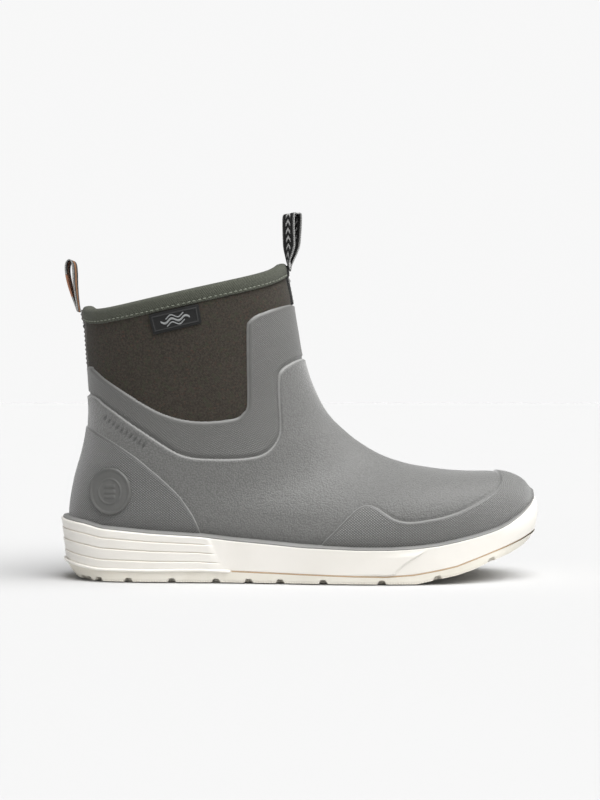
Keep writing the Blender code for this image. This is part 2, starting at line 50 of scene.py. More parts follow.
SECTIONS = [
    (-8.1, 202.2, -141.8, 173.6, 49.0, 49.0, 0.0, 0.50, 2.05, 2.05),
    (-3.9, 182.0, -140.2, 151.0, 47.5, 47.5, 0.0, 0.50, 2.05, 2.05),
    (-0.2, 160.0, -138.6, 128.0, 45.5, 45.5, 0.0, 0.50, 2.05, 2.05),
    (3.2, 141.2, -137.4, 106.0, 43.5, 43.5, 0.0, 0.50, 2.00, 2.05),
    (9.0, 123.0, -140.0, 86.0, 42.0, 42.0, 0.0, 0.48, 1.95, 2.15),
    (18.0, 106.0, -146.0, 63.0, 41.0, 41.0, 0.0, 0.47, 1.90, 2.35),
    (31.0, 93.0, -148.9, 42.0, 40.5, 39.0, 0.0, 0.45, 1.85, 2.50),
    (43.0, 84.3, -146.0, 27.5, 40.5, 38.0, 0.0, 0.43, 1.85, 2.55),
    (54.0, 78.5, -124.0, 21.5, 41.0, 37.0, 0.0, 0.42, 1.85, 2.60),
    (64.0, 74.9, -84.0, 19.8, 42.5, 37.5, 0.0, 0.42, 1.90, 2.80),
    (73.0, 72.6, -42.0, 16.0, 46.0, 41.0, 0.0, 0.42, 2.00, 3.00),
    (82.0, 71.1, 0.0, 12.8, 51.5, 46.5, 0.0, 0.40, 2.10, 3.00),
    (91.0, 69.8, 38.0, 11.5, 53.8, 49.8, 0.5, 0.38, 2.20, 3.00),
    (101.0, 68.8, 70.0, 12.0, 52.0, 50.8, 1.0, 0.36, 2.30, 3.00),
    (112.0, 68.3, 96.0, 14.5, 47.0, 50.0, 2.0, 0.36, 2.40, 3.00),
    (123.0, 68.2, 114.0, 19.0, 41.0, 44.5, 3.0, 0.38, 2.40, 2.80),
    (134.4, 67.1, 129.0, 25.5, 33.5, 36.5, 4.5, 0.42, 2.30, 2.50),
    (144.2, 62.8, 140.0, 33.0, 24.5, 26.5, 5.5, 0.46, 2.10, 2.20),
    (149.8, 56.5, 147.4, 41.0, 14.0, 15.5, 6.0, 0.50, 2.00, 2.00),
]
TOE_TIP = (151.2, 6.0, 49.5)
COLLAR_DIP = 7.8
DIP_STEPS = 3.0
RINGS_PER_STEP = [20, 20, 20, 18, 18, 18, 20, 28, 30, 30, 30, 28, 26, 22, 18, 14, 12, 10]
COLUMNS = 340

WELT_LINE = [(-154, 41.5), (-150, 40.4), (-136, 38.4), (-125, 35.6), (-94, 32.7), (-63, 30.8), (-41, 28.3),
             (-19, 26.4), (0, 24.7), (34, 23.3), (55, 23.3), (72, 24.2), (86, 25.8), (97, 27.9), (108, 30.2),
             (119, 33.0), (126, 35.2), (132, 37.9), (140, 42.7), (147.5, 48.6), (151.7, 53.2), (156, 57.0)]
STRIPE_LINE = [(-154, 12.2), (-150, 11.7), (-140, 9.5), (-127, 7.7), (-94, 7.4), (-63, 7.9), (-42, 7.1),
               (0, 5.8), (34, 4.9), (53, 4.7), (70, 5.8), (86, 8.5), (97, 10.7), (108, 14.5),
               (119, 18.2), (131, 22.2), (140, 25.6), (147, 28.6), (155, 31.8)]
FLOOR_LINE = [(-154, 6.5), (-150, 4.4), (-144, 1.6), (-138, 0.4), (-132, 0.0), (72, 0.0), (86, 2.9),
              (97, 4.9), (108, 8.2), (116, 11.5), (132, 16.9), (140, 20.4), (147, 24.2), (155, 28.5)]
OPENING_EDGE = [(-175, 140.0), (-137.8, 135.5), (-133.3, 133.4), (-123.2, 125.9), (-106.3, 115.5),
                (-95.0, 109.2), (-84.0, 104.4), (-72.8, 101.4), (-61.9, 100.3), (-50.6, 100.7),
                (-39.4, 102.5), (-34.4, 106.3), (-32.0, 111.5), (-32.0, 133.2), (-31.9, 159.5),
                (-31.0, 162.8), (-29.2, 165.2), (-25.0, 168.0), (-20.5, 169.8), (-14.8, 172.1),
                (-2.9, 176.0), (25.0, 184.0)]
BAND_EDGE = [(-175, 120.0), (-137.0, 117.5), (-124.3, 110.6), (-107.2, 99.4), (-90.6, 88.8), (-80.0, 82.2),
             (-72.5, 79.0), (-63.8, 77.4), (-47.5, 76.9), (-33.8, 77.5), (-24.0, 79.5), (-17.5, 83.8),
             (-12.8, 91.3), (-11.9, 98.8), (-12.6, 114.4), (-12.6, 128.0), (-10.8, 133.0), (-6.0, 136.8),
             (3.1, 141.1), (25.0, 147.0)]
COUNTER_EDGE = [(-175, 110.0), (-137.5, 97.8), (-127.3, 92.8), (-114.7, 85.9), (-103.3, 78.6), (-92.7, 70.2),
                (-82.7, 61.5), (-75.3, 54.1), (-70.0, 46.6), (-66.5, 41.0), (-62.5, 31.5), (-60.0, 20.0)]
GUARD_EDGE = [(10.0, 16.0), (13.3, 24.5), (22.2, 33.8), (30.5, 42.2), (35.5, 46.6), (39.8, 48.6),
              (43.9, 48.8), (48.3, 46.9), (53.5, 43.5), (58.8, 40.4), (65.3, 38.9), (72.2, 39.0),
              (79.0, 40.0), (88.3, 41.6), (99.5, 44.9), (108.9, 49.1), (116.9, 53.2), (122.9, 57.1),
              (125.5, 60.4), (127.4, 64.0), (127.0, 72.0), (126.5, 90.0)]
LABEL_CORNERS = [(-95.0, 167.4), (-62.7, 174.3), (-60.6, 161.6), (-91.6, 154.3)]
LABEL_SIZE = (33.0, 13.5)
LABEL_CORNER = 1.6
DISC_CENTRE = (-119.0, 57.0)
DISC_HALF = (13.4, 14.8)
FRONT_LOOP = [(-7.9, 204.0), (-8.6, 213.0), (-9.4, 225.0), (-9.4, 233.0), (-8.2, 235.2), (-5.0, 235.0),
              (-1.4, 235.2), (-0.2, 233.0), (-0.6, 226.0), (-2.0, 216.0), (-4.8, 205.0)]
REAR_LOOP = [(-147.2, 181.5), (-149.6, 190.0), (-151.0, 198.0), (-150.6, 203.0), (-148.7, 204.9),
             (-146.9, 203.2), (-146.2, 198.0), (-145.9, 190.0), (-145.0, 181.0)]
HINGE_FRONT = (-6.4, 198.6)
HINGE_REAR = (-143.7, 171.8)
WEBBING_WIDTH = 15.0
HEEL_CENTRE = -112.0             # middle of the heel's curve in plan, and its radius
HEEL_RADIUS = 38.0
TOE_CENTRE = 98.0
TOE_RADIUS = 50.0


def cubic_through(rows, steps):
    """Smooth cubic through rows of values, at fractional row numbers."""
    rows = np.array(rows, dtype=float)
    steps = np.asarray(steps, dtype=float)
    last = len(rows) - 1
    i = np.clip(steps.astype(int), 0, last - 1)
    t = (steps - i)[:, None]
    p0 = rows[np.maximum(i - 1, 0)]
    p1 = rows[i]
    p2 = rows[i + 1]
    p3 = rows[np.minimum(i + 2, last)]
    m1 = (p2 - p0) / 2
    m2 = (p3 - p1) / 2
    return ((2 * t**3 - 3 * t**2 + 1) * p1 + (t**3 - 2 * t**2 + t) * m1
            + (3 * t**2 - 2 * t**3) * p2 + (t**3 - t**2) * m2)


def dense_line(line, parts=10):
    """A line with smooth in-between points."""
    return cubic_through(line, np.linspace(0, len(line) - 1, (len(line) - 1) * parts + 1))


def smooth_level(line):
    """A rounded height-along-x function from a few points."""
    xs = np.arange(-190.0, 191.0, 1.0)
    zs = np.interp(xs, [p[0] for p in line], [p[1] for p in line])
    kernel = np.exp(-np.linspace(-2, 2, 7) ** 2)
    kernel /= kernel.sum()
    zs = np.convolve(np.pad(zs, 3, mode="edge"), kernel, mode="valid")
    return lambda x: np.interp(x, xs, zs)


welt_height = smooth_level(WELT_LINE)
stripe_height = smooth_level(STRIPE_LINE)
floor_height = smooth_level(FLOOR_LINE)


def smoothstep(value, low, high):
    """0 below low, 1 above high, and a soft rise between."""
    t = np.clip((value - low) / (high - low), 0.0, 1.0)
    return t * t * (3 - 2 * t)


def skin_points(steps, angles):
    """The outer face of the upper on every pair of steps and angles."""
    v = cubic_through(SECTIONS, steps)[:, :, None]
    c = np.cos(angles)[None, :]
    s = np.sin(angles)[None, :]
    front = c >= 0
    power = np.where(front, v[:, 8], v[:, 9])
    along = v[:, 7] + np.where(front, 1 - v[:, 7], -v[:, 7]) * np.abs(c) ** (2 / power)
    width = np.abs(s) ** (2 / power)
    y = v[:, 6] + np.where(s >= 0, -v[:, 4] * width, v[:, 5] * width)
    x = v[:, 2] + along * (v[:, 0] - v[:, 2])
    fade = np.maximum(0.0, 1 - np.asarray(steps)[:, None] / DIP_STEPS) ** 2
    dip = COLLAR_DIP * fade * 1.3 * s**2 / (s**2 + 0.3) * (1 - 0.12 * c)
    z = v[:, 3] + along * (v[:, 1] - v[:, 3]) - dip
    return np.stack(np.broadcast_arrays(x, y, z), axis=2)


def grid_normals(points):
    """Outward unit normals of a grid that closes round its columns."""
    down = np.gradient(points, axis=0)
    across = np.roll(points, -1, axis=1) - np.roll(points, 1, axis=1)
    normals = np.cross(across, down)
    return normals / np.maximum(np.linalg.norm(normals, axis=2, keepdims=True), 1e-9)


def skin_steps():
    """Ring places, close together where the boot's sides are long."""
    steps = []
    for i, rings in enumerate(RINGS_PER_STEP):
        steps += list(i + np.arange(rings) / rings)
    return np.array(steps + [len(RINGS_PER_STEP)])


def spread_angles(count):
    """Angles round the boot, closer together on its two long sides."""
    base = np.arange(count) * TURN / count
    return base + 0.22 * np.sin(2 * base)


def distance_along(points):
    """Distance along a line of points, from 0."""
    return np.concatenate([[0.0], np.cumsum(np.linalg.norm(np.diff(points, axis=0), axis=1))])


STEPS = skin_steps()
ANGLES = spread_angles(COLUMNS)
SKIN = skin_points(STEPS, ANGLES)
NORMALS = grid_normals(SKIN)
RUN = distance_along(SKIN[:, COLUMNS // 4])


def line_distance(points, line):
    """Distance in side view from each point to a line."""
    flat = points.reshape(-1, 2)
    best = np.full(len(flat), 1e9)
    for a, b in zip(line[:-1], line[1:]):
        run = b - a
        t = np.clip(((flat - a) @ run) / max(run @ run, 1e-12), 0, 1)
        gap = flat - a - t[:, None] * run
        best = np.minimum(best, np.einsum("ij,ij->i", gap, gap))
    return np.sqrt(best).reshape(points.shape[:-1])


def inside_polygon(points, polygon):
    """True where a point in side view lies inside a closed outline."""
    flat = points.reshape(-1, 2)
    inside = np.zeros(len(flat), dtype=bool)
    for (ax, az), (bx, bz) in zip(polygon, np.roll(polygon, -1, axis=0)):
        if az == bz:
            continue
        crosses = (flat[:, 1] < az) != (flat[:, 1] < bz)
        x = ax + (flat[:, 1] - az) * (bx - ax) / (bz - az)
        inside ^= crosses & (flat[:, 0] < x)
    return inside.reshape(points.shape[:-1])


def edge_depth(points, line, far_corners):
    """How far inside an outline each point lies: negative outside it. Only the line counts as its edge."""
    smooth = dense_line(line)
    polygon = np.concatenate([smooth, np.array(far_corners, dtype=float)])
    side = points[..., [0, 2]]
    return np.where(inside_polygon(side, polygon), 1.0, -1.0) * line_distance(side, smooth)


# ---------------------------------------------------------------- meshes


def new_object(name, points, faces, material, uv=None, edge=None, sharp=None):
    """An object from points in millimetres, with optional surface coordinates and edge depth."""
    mesh = bpy.data.meshes.new(name)
    mesh.from_pydata((np.asarray(points, dtype=float) * MM).tolist(), [], faces)
    mesh.validate()
    if uv is not None:
        layer = mesh.uv_layers.new(name="flow")
        corner = np.empty(len(mesh.loops), dtype=np.int32)
        mesh.loops.foreach_get("vertex_index", corner)
        layer.data.foreach_set("uv", np.asarray(uv, dtype=np.float32)[corner].ravel())
    if edge is not None:
        store = mesh.attributes.new("edge", "FLOAT", "POINT")
        store.data.foreach_set("value", np.asarray(edge, dtype=np.float32).ravel())
    mesh.shade_smooth()
    if sharp is not None:
        mesh.set_sharp_from_angle(angle=math.radians(sharp))
    mesh.materials.append(material)
    obj = bpy.data.objects.new(name, mesh)
    bpy.context.scene.collection.objects.link(obj)
    return obj


def grid_faces(rows, columns, closed, keep=None):
    """Quads of a grid, optionally only those whose four corners are kept."""
    i = np.arange(rows - 1)[:, None]
    k = np.arange(columns if closed else columns - 1)[None, :]
    after = (k + 1) % columns
    quads = np.stack(np.broadcast_arrays(i * columns + k, i * columns + after,
                                         (i + 1) * columns + after, (i + 1) * columns + k), axis=2)
    quads = quads.reshape(-1, 4)
    if keep is not None:
        quads = quads[keep.ravel()[quads].all(axis=1)]
    return quads


def compact(points, quads, *extras):
    """Drop the points that no face uses."""
    used = np.unique(quads)
    renumber = np.full(len(points), -1)
    renumber[used] = np.arange(len(used))
    return [points[used], renumber[quads].tolist()] + [extra[used] for extra in extras]


def place(piece, body, *nodes, slot=None):
    """Ride a piece on a body in place of its CAD nodes."""
    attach(piece, body)
    if nodes:
        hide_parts(*nodes)
    return piece


def plan_flow(points, centre, radius):
    """Surface coordinates for the foot: distance round the heel or toe, and height."""
    x = points[..., 0]
    y = points[..., 1]
    beyond = (x - centre) * (1.0 if centre > 0 else -1.0)
    turn = np.arctan2(y, np.maximum(beyond, 0.0) + 1e-6) * radius
    straight = np.sign(y) * (radius * math.pi / 2 - np.minimum(beyond, 0.0))
    return np.stack([np.where(beyond > 0, turn, straight), points[..., 2]], axis=-1)


def leg_flow():
    """Surface coordinates for the leg: distance round the ring, and distance down it."""
    round_leg = np.linalg.norm(np.roll(SKIN[40], -1, axis=0) - SKIN[40], axis=1)
    u = np.concatenate([[0.0], np.cumsum(round_leg)[:-1]])
    return np.stack(np.broadcast_arrays(u[None, :], RUN[:, None]), axis=2)


def shaped_panel(name, offset, keep, flow, edge, material, mark=None):
    """The kept part of the skin, moved out by a height at every point."""
    points = SKIN + NORMALS * offset[..., None]
    quads = grid_faces(len(STEPS), COLUMNS, True, keep)
    marks = np.zeros_like(edge) if mark is None else mark
    points, faces, uv, depth, marks = compact(points.reshape(-1, 3), quads, flow.reshape(-1, 2),
                                              edge.reshape(-1, 1), marks.reshape(-1, 1))
    piece = new_object(name, points, faces, material, uv, depth)
    # The mark attribute carries painted shade; the vamp uses it to darken its emboss bars.
    store = piece.data.attributes.new("mark", "FLOAT", "POINT")
    store.data.foreach_set("value", marks.astype(np.float32).ravel())
    return piece


def raised_edge(depth, low, high, width=1.3, lip=0.0):
    """Height of a panel: it dives to low at its border, and has a faint lip just inside it."""
    rise = np.clip((depth + width) / (width + 0.5), 0.0, 1.0)
    return low + (high - low) * rise + lip * np.exp(-((depth - 1.3) / 0.8) ** 2)


# ---------------------------------------------------------------- materials


class Paint:
    """A material and short ways to add nodes to it."""

    def __init__(self, name):
        self.material = bpy.data.materials.new(name)
        self.material.use_nodes = True
        self.tree = self.material.node_tree
        self.shader = self.tree.nodes["Principled BSDF"]
        where = self.add("ShaderNodeTexCoord")
        self.mm = self.scaled(where.outputs["Object"], (1000, 1000, 1000))

    def add(self, kind, **settings):
        node = self.tree.nodes.new(kind)
        for key, value in settings.items():
            setattr(node, key, value)
        return node

    def put(self, socket, value):
        if isinstance(value, bpy.types.NodeSocket):
            self.tree.links.new(value, socket)
        elif isinstance(value, tuple) and len(value) == 3 and socket.type == "RGBA":
            socket.default_value = (*value, 1.0)
        else:
            socket.default_value = value

    def scaled(self, vector, scale, turn=0.0):
        node = self.add("ShaderNodeMapping")
        self.put(node.inputs["Vector"], vector)
        node.inputs["Scale"].default_value = scale
        node.inputs["Rotation"].default_value = (0, 0, turn)
        return node.outputs[0]

    def flow(self):
        return self.add("ShaderNodeUVMap", uv_map="flow").outputs[0]

    def attribute(self, name="edge"):
        return self.add("ShaderNodeAttribute", attribute_name=name).outputs["Fac"]

    def split(self, vector):
        node = self.add("ShaderNodeSeparateXYZ")
        self.put(node.inputs[0], vector)
        return node.outputs

    def noise(self, scale, detail=3.0, vector=None, roughness=0.55):
        node = self.add("ShaderNodeTexNoise")
        self.put(node.inputs["Vector"], vector or self.mm)
        node.inputs["Scale"].default_value = scale
        node.inputs["Detail"].default_value = detail
        node.inputs["Roughness"].default_value = roughness
        return node.outputs["Fac"]

    def cells(self, scale, vector=None, feature="F1"):
        node = self.add("ShaderNodeTexVoronoi", feature=feature)
        self.put(node.inputs["Vector"], vector or self.mm)
        node.inputs["Scale"].default_value = scale
        return node.outputs["Distance"]

    def calc(self, operation, a, b=0.0, c=0.0):
        node = self.add("ShaderNodeMath", operation=operation)
        for socket, value in zip(node.inputs, (a, b, c)):
            self.put(socket, value)
        return node.outputs[0]

    def step(self, value, low, high):
        node = self.add("ShaderNodeMapRange", interpolation_type="SMOOTHSTEP")
        for socket, given in zip(("Value", "From Min", "From Max"), (value, low, high)):
            self.put(node.inputs[socket], given)
        return node.outputs[0]

    def waves(self, value, period):
        """0 to 1 sine of a coordinate."""
        sine = self.calc("SINE", self.calc("MULTIPLY", value, TURN / period))
        return self.calc("MULTIPLY_ADD", sine, 0.5, 0.5)

    def mix(self, share, a, b, blend="MIX"):
        node = self.add("ShaderNodeMix", data_type="RGBA", blend_type=blend)
        self.put(node.inputs["Factor"], share)
        self.put(node.inputs[6], a)
        self.put(node.inputs[7], b)
        return node.outputs[2]

    def add_up(self, *values):
        total = values[0]
        for value in values[1:]:
            total = self.calc("ADD", total, value)
        return total

    def times(self, value, factor):
        return self.calc("MULTIPLY", value, factor)

    def rest_of(self, value):
        return self.calc("SUBTRACT", 1.0, value)

    def rim(self, edge, low):
        """1 on the outermost half millimetre of a panel's lip: the mask for a painted highlight on that lip."""
        return self.times(self.rest_of(self.step(edge, low, low + 0.5)), self.step(edge, -0.7, -0.3))

    def finish(self, colour, roughness, height, depth_mm, sheen=0.0, coat=0.0, specular=0.5):
        """Wire the colour, roughness and bump, and set the constant values."""
        inputs = self.shader.inputs
        self.put(inputs["Base Color"], colour)
        self.put(inputs["Roughness"], roughness)
        bump = self.add("ShaderNodeBump")
        self.put(bump.inputs["Height"], height)
        bump.inputs["Distance"].default_value = depth_mm * MM
        bump.inputs["Strength"].default_value = 1.0
        self.tree.links.new(bump.outputs[0], inputs["Normal"])
        inputs["Sheen Weight"].default_value = sheen
        inputs["Sheen Roughness"].default_value = 0.5
        inputs["Coat Weight"].default_value = coat
        inputs["Specular IOR Level"].default_value = specular
        return self.material


def neoprene_paint():
    """Heathered knit face: dark brown with green and rust flecks."""
    p = Paint("neoprene_knit")
    u, v, _ = p.split(p.flow())
    fleck = p.noise(0.85, 4.0, roughness=0.7)
    cloud = p.noise(0.06, 3.0)
    colour = p.mix(p.step(fleck, 0.35, 0.65), (0.024, 0.021, 0.017), (0.050, 0.042, 0.034))
    colour = p.mix(p.times(p.step(p.noise(0.33, 3.0), 0.5, 0.68), 0.5), colour, (0.036, 0.043, 0.025))
    rust = p.noise(0.47, 3.0, vector=p.scaled(p.mm, (1, 1, 1.7)))
    colour = p.mix(p.times(p.step(rust, 0.56, 0.72), 0.5), colour, (0.078, 0.038, 0.027))
    colour = p.mix(p.times(cloud, 0.3), colour, (0.050, 0.044, 0.037))
    knit = p.times(p.waves(p.add_up(u, p.times(p.waves(v, 1.1), 0.35)), 0.9), 0.5)
    height = p.add_up(knit, p.times(p.noise(1.6, 2.0), 0.9))
    return p.finish(colour, 0.9, height, 0.2, sheen=0.06, specular=0.15)


def grain_paint():
    """Rubberised upper with a pebble grain, paler in soft patches, with a painted highlight on panel rims and
    painted shade in the emboss bars.
    """
    p = Paint("upper_grain")
    pebble = p.cells(0.95)
    soft = p.noise(1.3, 4.0, roughness=0.65)
    wide = p.noise(0.025, 2.0)
    edge = p.attribute()
    colour = p.mix(p.step(pebble, 0.15, 0.75), (0.116, 0.116, 0.112), (0.074, 0.074, 0.070))
    colour = p.mix(p.times(p.step(soft, 0.45, 0.7), 0.5), colour, (0.150, 0.150, 0.144))
    colour = p.mix(p.times(wide, 0.35), colour, (0.105, 0.104, 0.098))
    # Painted highlight: a pale band along each panel's rim stands in for light on its rounded lip.
    colour = p.mix(p.times(p.rim(edge, 0.1), 0.5), colour, (0.36, 0.36, 0.35))
    # Painted shade: the mark attribute darkens the recessed emboss bars.
    colour = p.mix(p.times(p.attribute("mark"), 0.75), colour, (0.022, 0.022, 0.021))
    height = p.add_up(p.times(pebble, -0.9), p.times(soft, 0.9))
    return p.finish(colour, p.calc("MULTIPLY_ADD", soft, 0.2, 0.44), height, 0.24, sheen=0.55, specular=0.55)


def dotted_paint():
    """Moulded band with rows of fine dots and a plain rim with a painted highlight."""
    p = Paint("band_dots")
    u, v, _ = p.split(p.flow())
    edge = p.attribute()
    dots = p.times(p.waves(p.add_up(u, v), 1.5), p.waves(p.calc("SUBTRACT", u, v), 1.5))
    inner = p.step(edge, 1.6, 2.6)
    speck = p.step(dots, 0.35, 0.8)
    colour = p.mix(p.times(speck, inner), (0.082, 0.082, 0.078), (0.140, 0.140, 0.134))
    colour = p.mix(p.times(p.noise(0.05, 2.0), 0.3), colour, (0.13, 0.128, 0.12))
    # Painted highlight along the band's rim.
    colour = p.mix(p.times(p.rim(edge, 0.1), 0.35), colour, (0.27, 0.27, 0.26))
    height = p.add_up(p.times(p.times(dots, inner), 1.0), p.times(p.noise(1.5, 2.0), 0.25))
    return p.finish(colour, 0.46, height, 0.24, sheen=0.15, specular=0.55)


def knurl_paint(name, dark, pale, pitch):
    """Moulded overlay with a diamond knurl and a painted highlight along its rim."""
    p = Paint(name)
    u, v, _ = p.split(p.flow())
    edge = p.attribute()
    one = p.waves(p.add_up(u, p.times(v, 1.25)), pitch)
    two = p.waves(p.calc("SUBTRACT", u, p.times(v, 1.25)), pitch)
    diamonds = p.calc("MINIMUM", one, two)
    inner = p.step(edge, 0.9, 1.8)
    colour = p.mix(p.times(p.step(diamonds, 0.15, 0.6), inner), dark, pale)
    colour = p.mix(p.times(p.noise(0.04, 2.0), 0.3), colour, tuple(0.75 * c for c in pale))
    # Painted highlight along the overlay's rim.
    colour = p.mix(p.times(p.rim(edge, 0.0), 0.35), colour, (0.27, 0.27, 0.26))
    height = p.add_up(p.times(diamonds, inner), p.times(p.noise(1.2, 2.0), 0.2))
    return p.finish(colour, 0.46, height, 0.30, sheen=0.45, specular=0.6)


def rubber_paint(name, colour, other, roughness=0.5, scale=0.02, bump=0.05):
    """Plain moulded rubber: slight clouding, faint scuffs and an orange-peel skin."""
    p = Paint(name)
    base = p.mix(p.step(p.noise(scale, 3.0), 0.35, 0.7), colour, other)
    scuff = p.step(p.noise(0.18, 6.0, roughness=0.75), 0.62, 0.75)
    base = p.mix(p.times(scuff, 0.25), base, tuple(0.85 * c for c in other))
    rough = p.calc("MULTIPLY_ADD", p.noise(0.12, 3.0), 0.16, roughness - 0.08)
    return p.finish(base, rough, p.noise(1.4, 3.0), bump, specular=0.45)


def wall_paint():
    """White sidewall with painted tan shade in the moulded grooves at the heel."""
    p = Paint("sidewall_white")
    edge = p.attribute()
    base = p.mix(p.step(p.noise(0.02, 3.0), 0.35, 0.7), (0.755, 0.73, 0.685), (0.72, 0.695, 0.645))
    scuff = p.step(p.noise(0.14, 6.0, roughness=0.75), 0.62, 0.76)
    base = p.mix(p.times(scuff, 0.18), base, (0.66, 0.62, 0.55))
    # Painted shade: tan in the heel grooves stands in for the shade inside them.
    base = p.mix(p.times(p.step(edge, 0.3, 0.8), 0.5), base, (0.50, 0.43, 0.33))
    rough = p.calc("MULTIPLY_ADD", p.noise(0.12, 3.0), 0.14, 0.40)
    return p.finish(base, rough, p.noise(1.2, 3.0), 0.05, specular=0.45)


def stripe_shade_paint():
    """Tan painted shade for the parting groove, turning into the white bead behind the waist."""
    p = Paint("foxing_stripe")
    x, _, _ = p.split(p.mm)
    ahead = p.step(x, -44.0, -42.0)
    grain = p.noise(0.8, 3.0)
    # Painted shade: tan ahead of the waist stands in for shade in the parting groove.
    tan_shade = p.mix(grain, (0.36, 0.25, 0.15), (0.46, 0.34, 0.22))
    colour = p.mix(ahead, (0.77, 0.745, 0.695), tan_shade)
    return p.finish(colour, 0.55, grain, 0.06, specular=0.4)


def twill_paint():
    """Folded twill tape: steep diagonal ribs, green-grey."""
    p = Paint("binding_twill")
    u, v, _ = p.split(p.flow())
    slant = p.add_up(u, p.times(v, 0.9))
    ribs = p.waves(slant, 1.25)
    yarn = p.waves(p.calc("SUBTRACT", u, p.times(v, 1.6)), 0.7)
    wear = p.noise(0.08, 3.0)
    colour = p.mix(ribs, (0.026, 0.029, 0.021), (0.118, 0.124, 0.096))
    colour = p.mix(p.times(p.step(p.noise(1.3, 3.0), 0.45, 0.7), 0.5), colour, (0.140, 0.145, 0.118))
    colour = p.mix(p.times(wear, 0.3), colour, (0.060, 0.064, 0.050))
    height = p.add_up(ribs, p.times(yarn, 0.35), p.times(p.noise(2.2, 2.0), 0.4))
    return p.finish(colour, 0.85, height, 0.26, sheen=0.08, specular=0.2)


def webbing_paint(name, ground, fleck, stripe, stripe_from, stripe_to, selvedge, mark=None, glow=None):
    """Woven webbing: ribs across, a coloured stripe along it and paler selvedges."""
    p = Paint(name)
    u, v, _ = p.split(p.flow())
    rib = p.waves(v, 1.1)
    yarn = p.waves(u, 0.8)
    weave = p.calc("MAXIMUM", p.times(rib, yarn), p.times(p.rest_of(rib), p.waves(u, 1.6)))
    colour = p.mix(p.times(weave, 0.8), ground, fleck)
    past = p.step(u, stripe_to, stripe_to + 0.3)
    band = p.times(p.step(u, stripe_from, stripe_from + 0.3), p.rest_of(past))
    colour = p.mix(p.times(band, p.calc("MULTIPLY_ADD", rib, 0.35, 0.6)), colour, stripe)
    if mark is not None:
        steps = p.step(p.waves(p.add_up(v, p.calc("ABSOLUTE", u)), 5.2), 0.62, 0.72)
        middle = p.rest_of(p.step(p.calc("ABSOLUTE", u), 2.6, 3.0))
        colour = p.mix(p.times(p.times(steps, middle), p.calc("MULTIPLY_ADD", yarn, 0.3, 0.6)), colour, mark)
    side = p.step(p.calc("ABSOLUTE", u), WEBBING_WIDTH / 2 - 1.5, WEBBING_WIDTH / 2 - 1.0)
    colour = p.mix(p.times(side, p.calc("MULTIPLY_ADD", rib, 0.45, 0.45)), colour, selvedge)
    if glow is not None:
        shade, low, high = glow
        leg = p.times(p.step(v, low, low + 1.5), p.rest_of(p.step(v, high, high + 1.5)))
        colour = p.mix(p.times(leg, 0.8), colour, shade)
    height = p.add_up(weave, p.times(rib, 0.6), p.times(p.noise(2.5, 2.0), 0.3))
    return p.finish(colour, 0.85, height, 0.20, sheen=0.05, specular=0.12)


def thread_paint(name, colour, other):
    """Twisted sewing thread."""
    p = Paint(name)
    x, y, z = p.split(p.mm)
    twist = p.waves(p.add_up(x, y, z), 0.5)
    shade = p.mix(twist, colour, other)
    return p.finish(shade, 0.7, twist, 0.08, sheen=0.2, specular=0.35)


def cloth_paint(name, dark, pale, pitch):
    """Knitted lining cloth."""
    p = Paint(name)
    u, v, _ = p.split(p.flow())
    loops = p.times(p.waves(u, pitch), p.waves(p.add_up(v, p.times(p.waves(u, pitch), 0.5)), pitch * 1.4))
    colour = p.mix(loops, dark, pale)
    colour = p.mix(p.times(p.noise(0.1, 4.0), 0.35), colour, dark)
    height = p.add_up(loops, p.times(p.noise(1.4, 2.0), 0.5))
    return p.finish(colour, 0.92, height, 0.2, sheen=0.3, specular=0.2)


def foam_paint(name, colour, other):
    """Closed-cell foam or fibre board."""
    p = Paint(name)
    cell = p.cells(1.1)
    shade = p.mix(p.step(p.noise(0.6, 4.0), 0.3, 0.7), colour, other)
    return p.finish(shade, 0.9, p.add_up(cell, p.noise(0.5, 3.0)), 0.2, specular=0.25)


# ---------------------------------------------------------------- upper

DEPTH_OPENING = edge_depth(SKIN, OPENING_EDGE, [(60, 300), (-220, 300)])
DEPTH_VAMP = edge_depth(SKIN, BAND_EDGE, [(200, 147), (200, -50), (-220, -50), (-220, 120)])
DEPTH_COUNTER = edge_depth(SKIN, COUNTER_EDGE, [(-60, -50), (-220, -50), (-220, 110)])
DEPTH_GUARD = edge_depth(SKIN, GUARD_EDGE, [(220, 90), (220, -50), (10, -50)])
ABOVE_WELT = SKIN[..., 2] - welt_height(SKIN[..., 0])
SEEN = ABOVE_WELT > -5.0
OVERLAP = 1.9                    # how far a panel's skin runs past its edge, to dive under it


def wobble(points, size, phase):
    """Slow, even unevenness from -1 to 1."""
    x, y, z = (points[..., i] / size + phase for i in range(3))
    return (np.sin(x + 1.3 * np.sin(z)) + np.sin(1.7 * z + y) + np.sin(1.3 * y - x)) / 3


def emboss_bars():
    """A row of short bars between the band and the heel counter, on both sides, 0 to 1."""
    start = np.array([-124.6, 104.0])
    end = np.array([-97.0, 85.4])
    run = (end - start) / np.linalg.norm(end - start)
    side = SKIN[..., [0, 2]] - start
    along = side @ run
    across = side @ np.array([-run[1], run[0]])
    length = np.linalg.norm(end - start)
    inside = smoothstep(along, -0.4, 0.4) * (1 - smoothstep(along, length - 0.4, length + 0.4))
    bars = 1 - smoothstep(np.abs((along % 3.4) - 1.7), 0.45, 1.1)
    return inside * bars * (1 - smoothstep(np.abs(across), 1.2, 1.9))


def make_neoprene():
    """The knit-faced sock where the panels leave it bare."""
    puff = 0.8 * (1 - np.exp(-np.maximum(DEPTH_OPENING, 0) / 7.0))
    offset = -2.5 + puff * smoothstep(RUN[:, None], 6.0, 22.0) + 0.22 * wobble(SKIN, 13.0, 0.4)
    keep = (DEPTH_OPENING > -7.0) & SEEN
    piece = shaped_panel("neoprene_bootie_skin", offset, keep, leg_flow(), DEPTH_OPENING, neoprene_paint())
    place(piece, "boot", "neoprene_bootie", slot="neoprene")


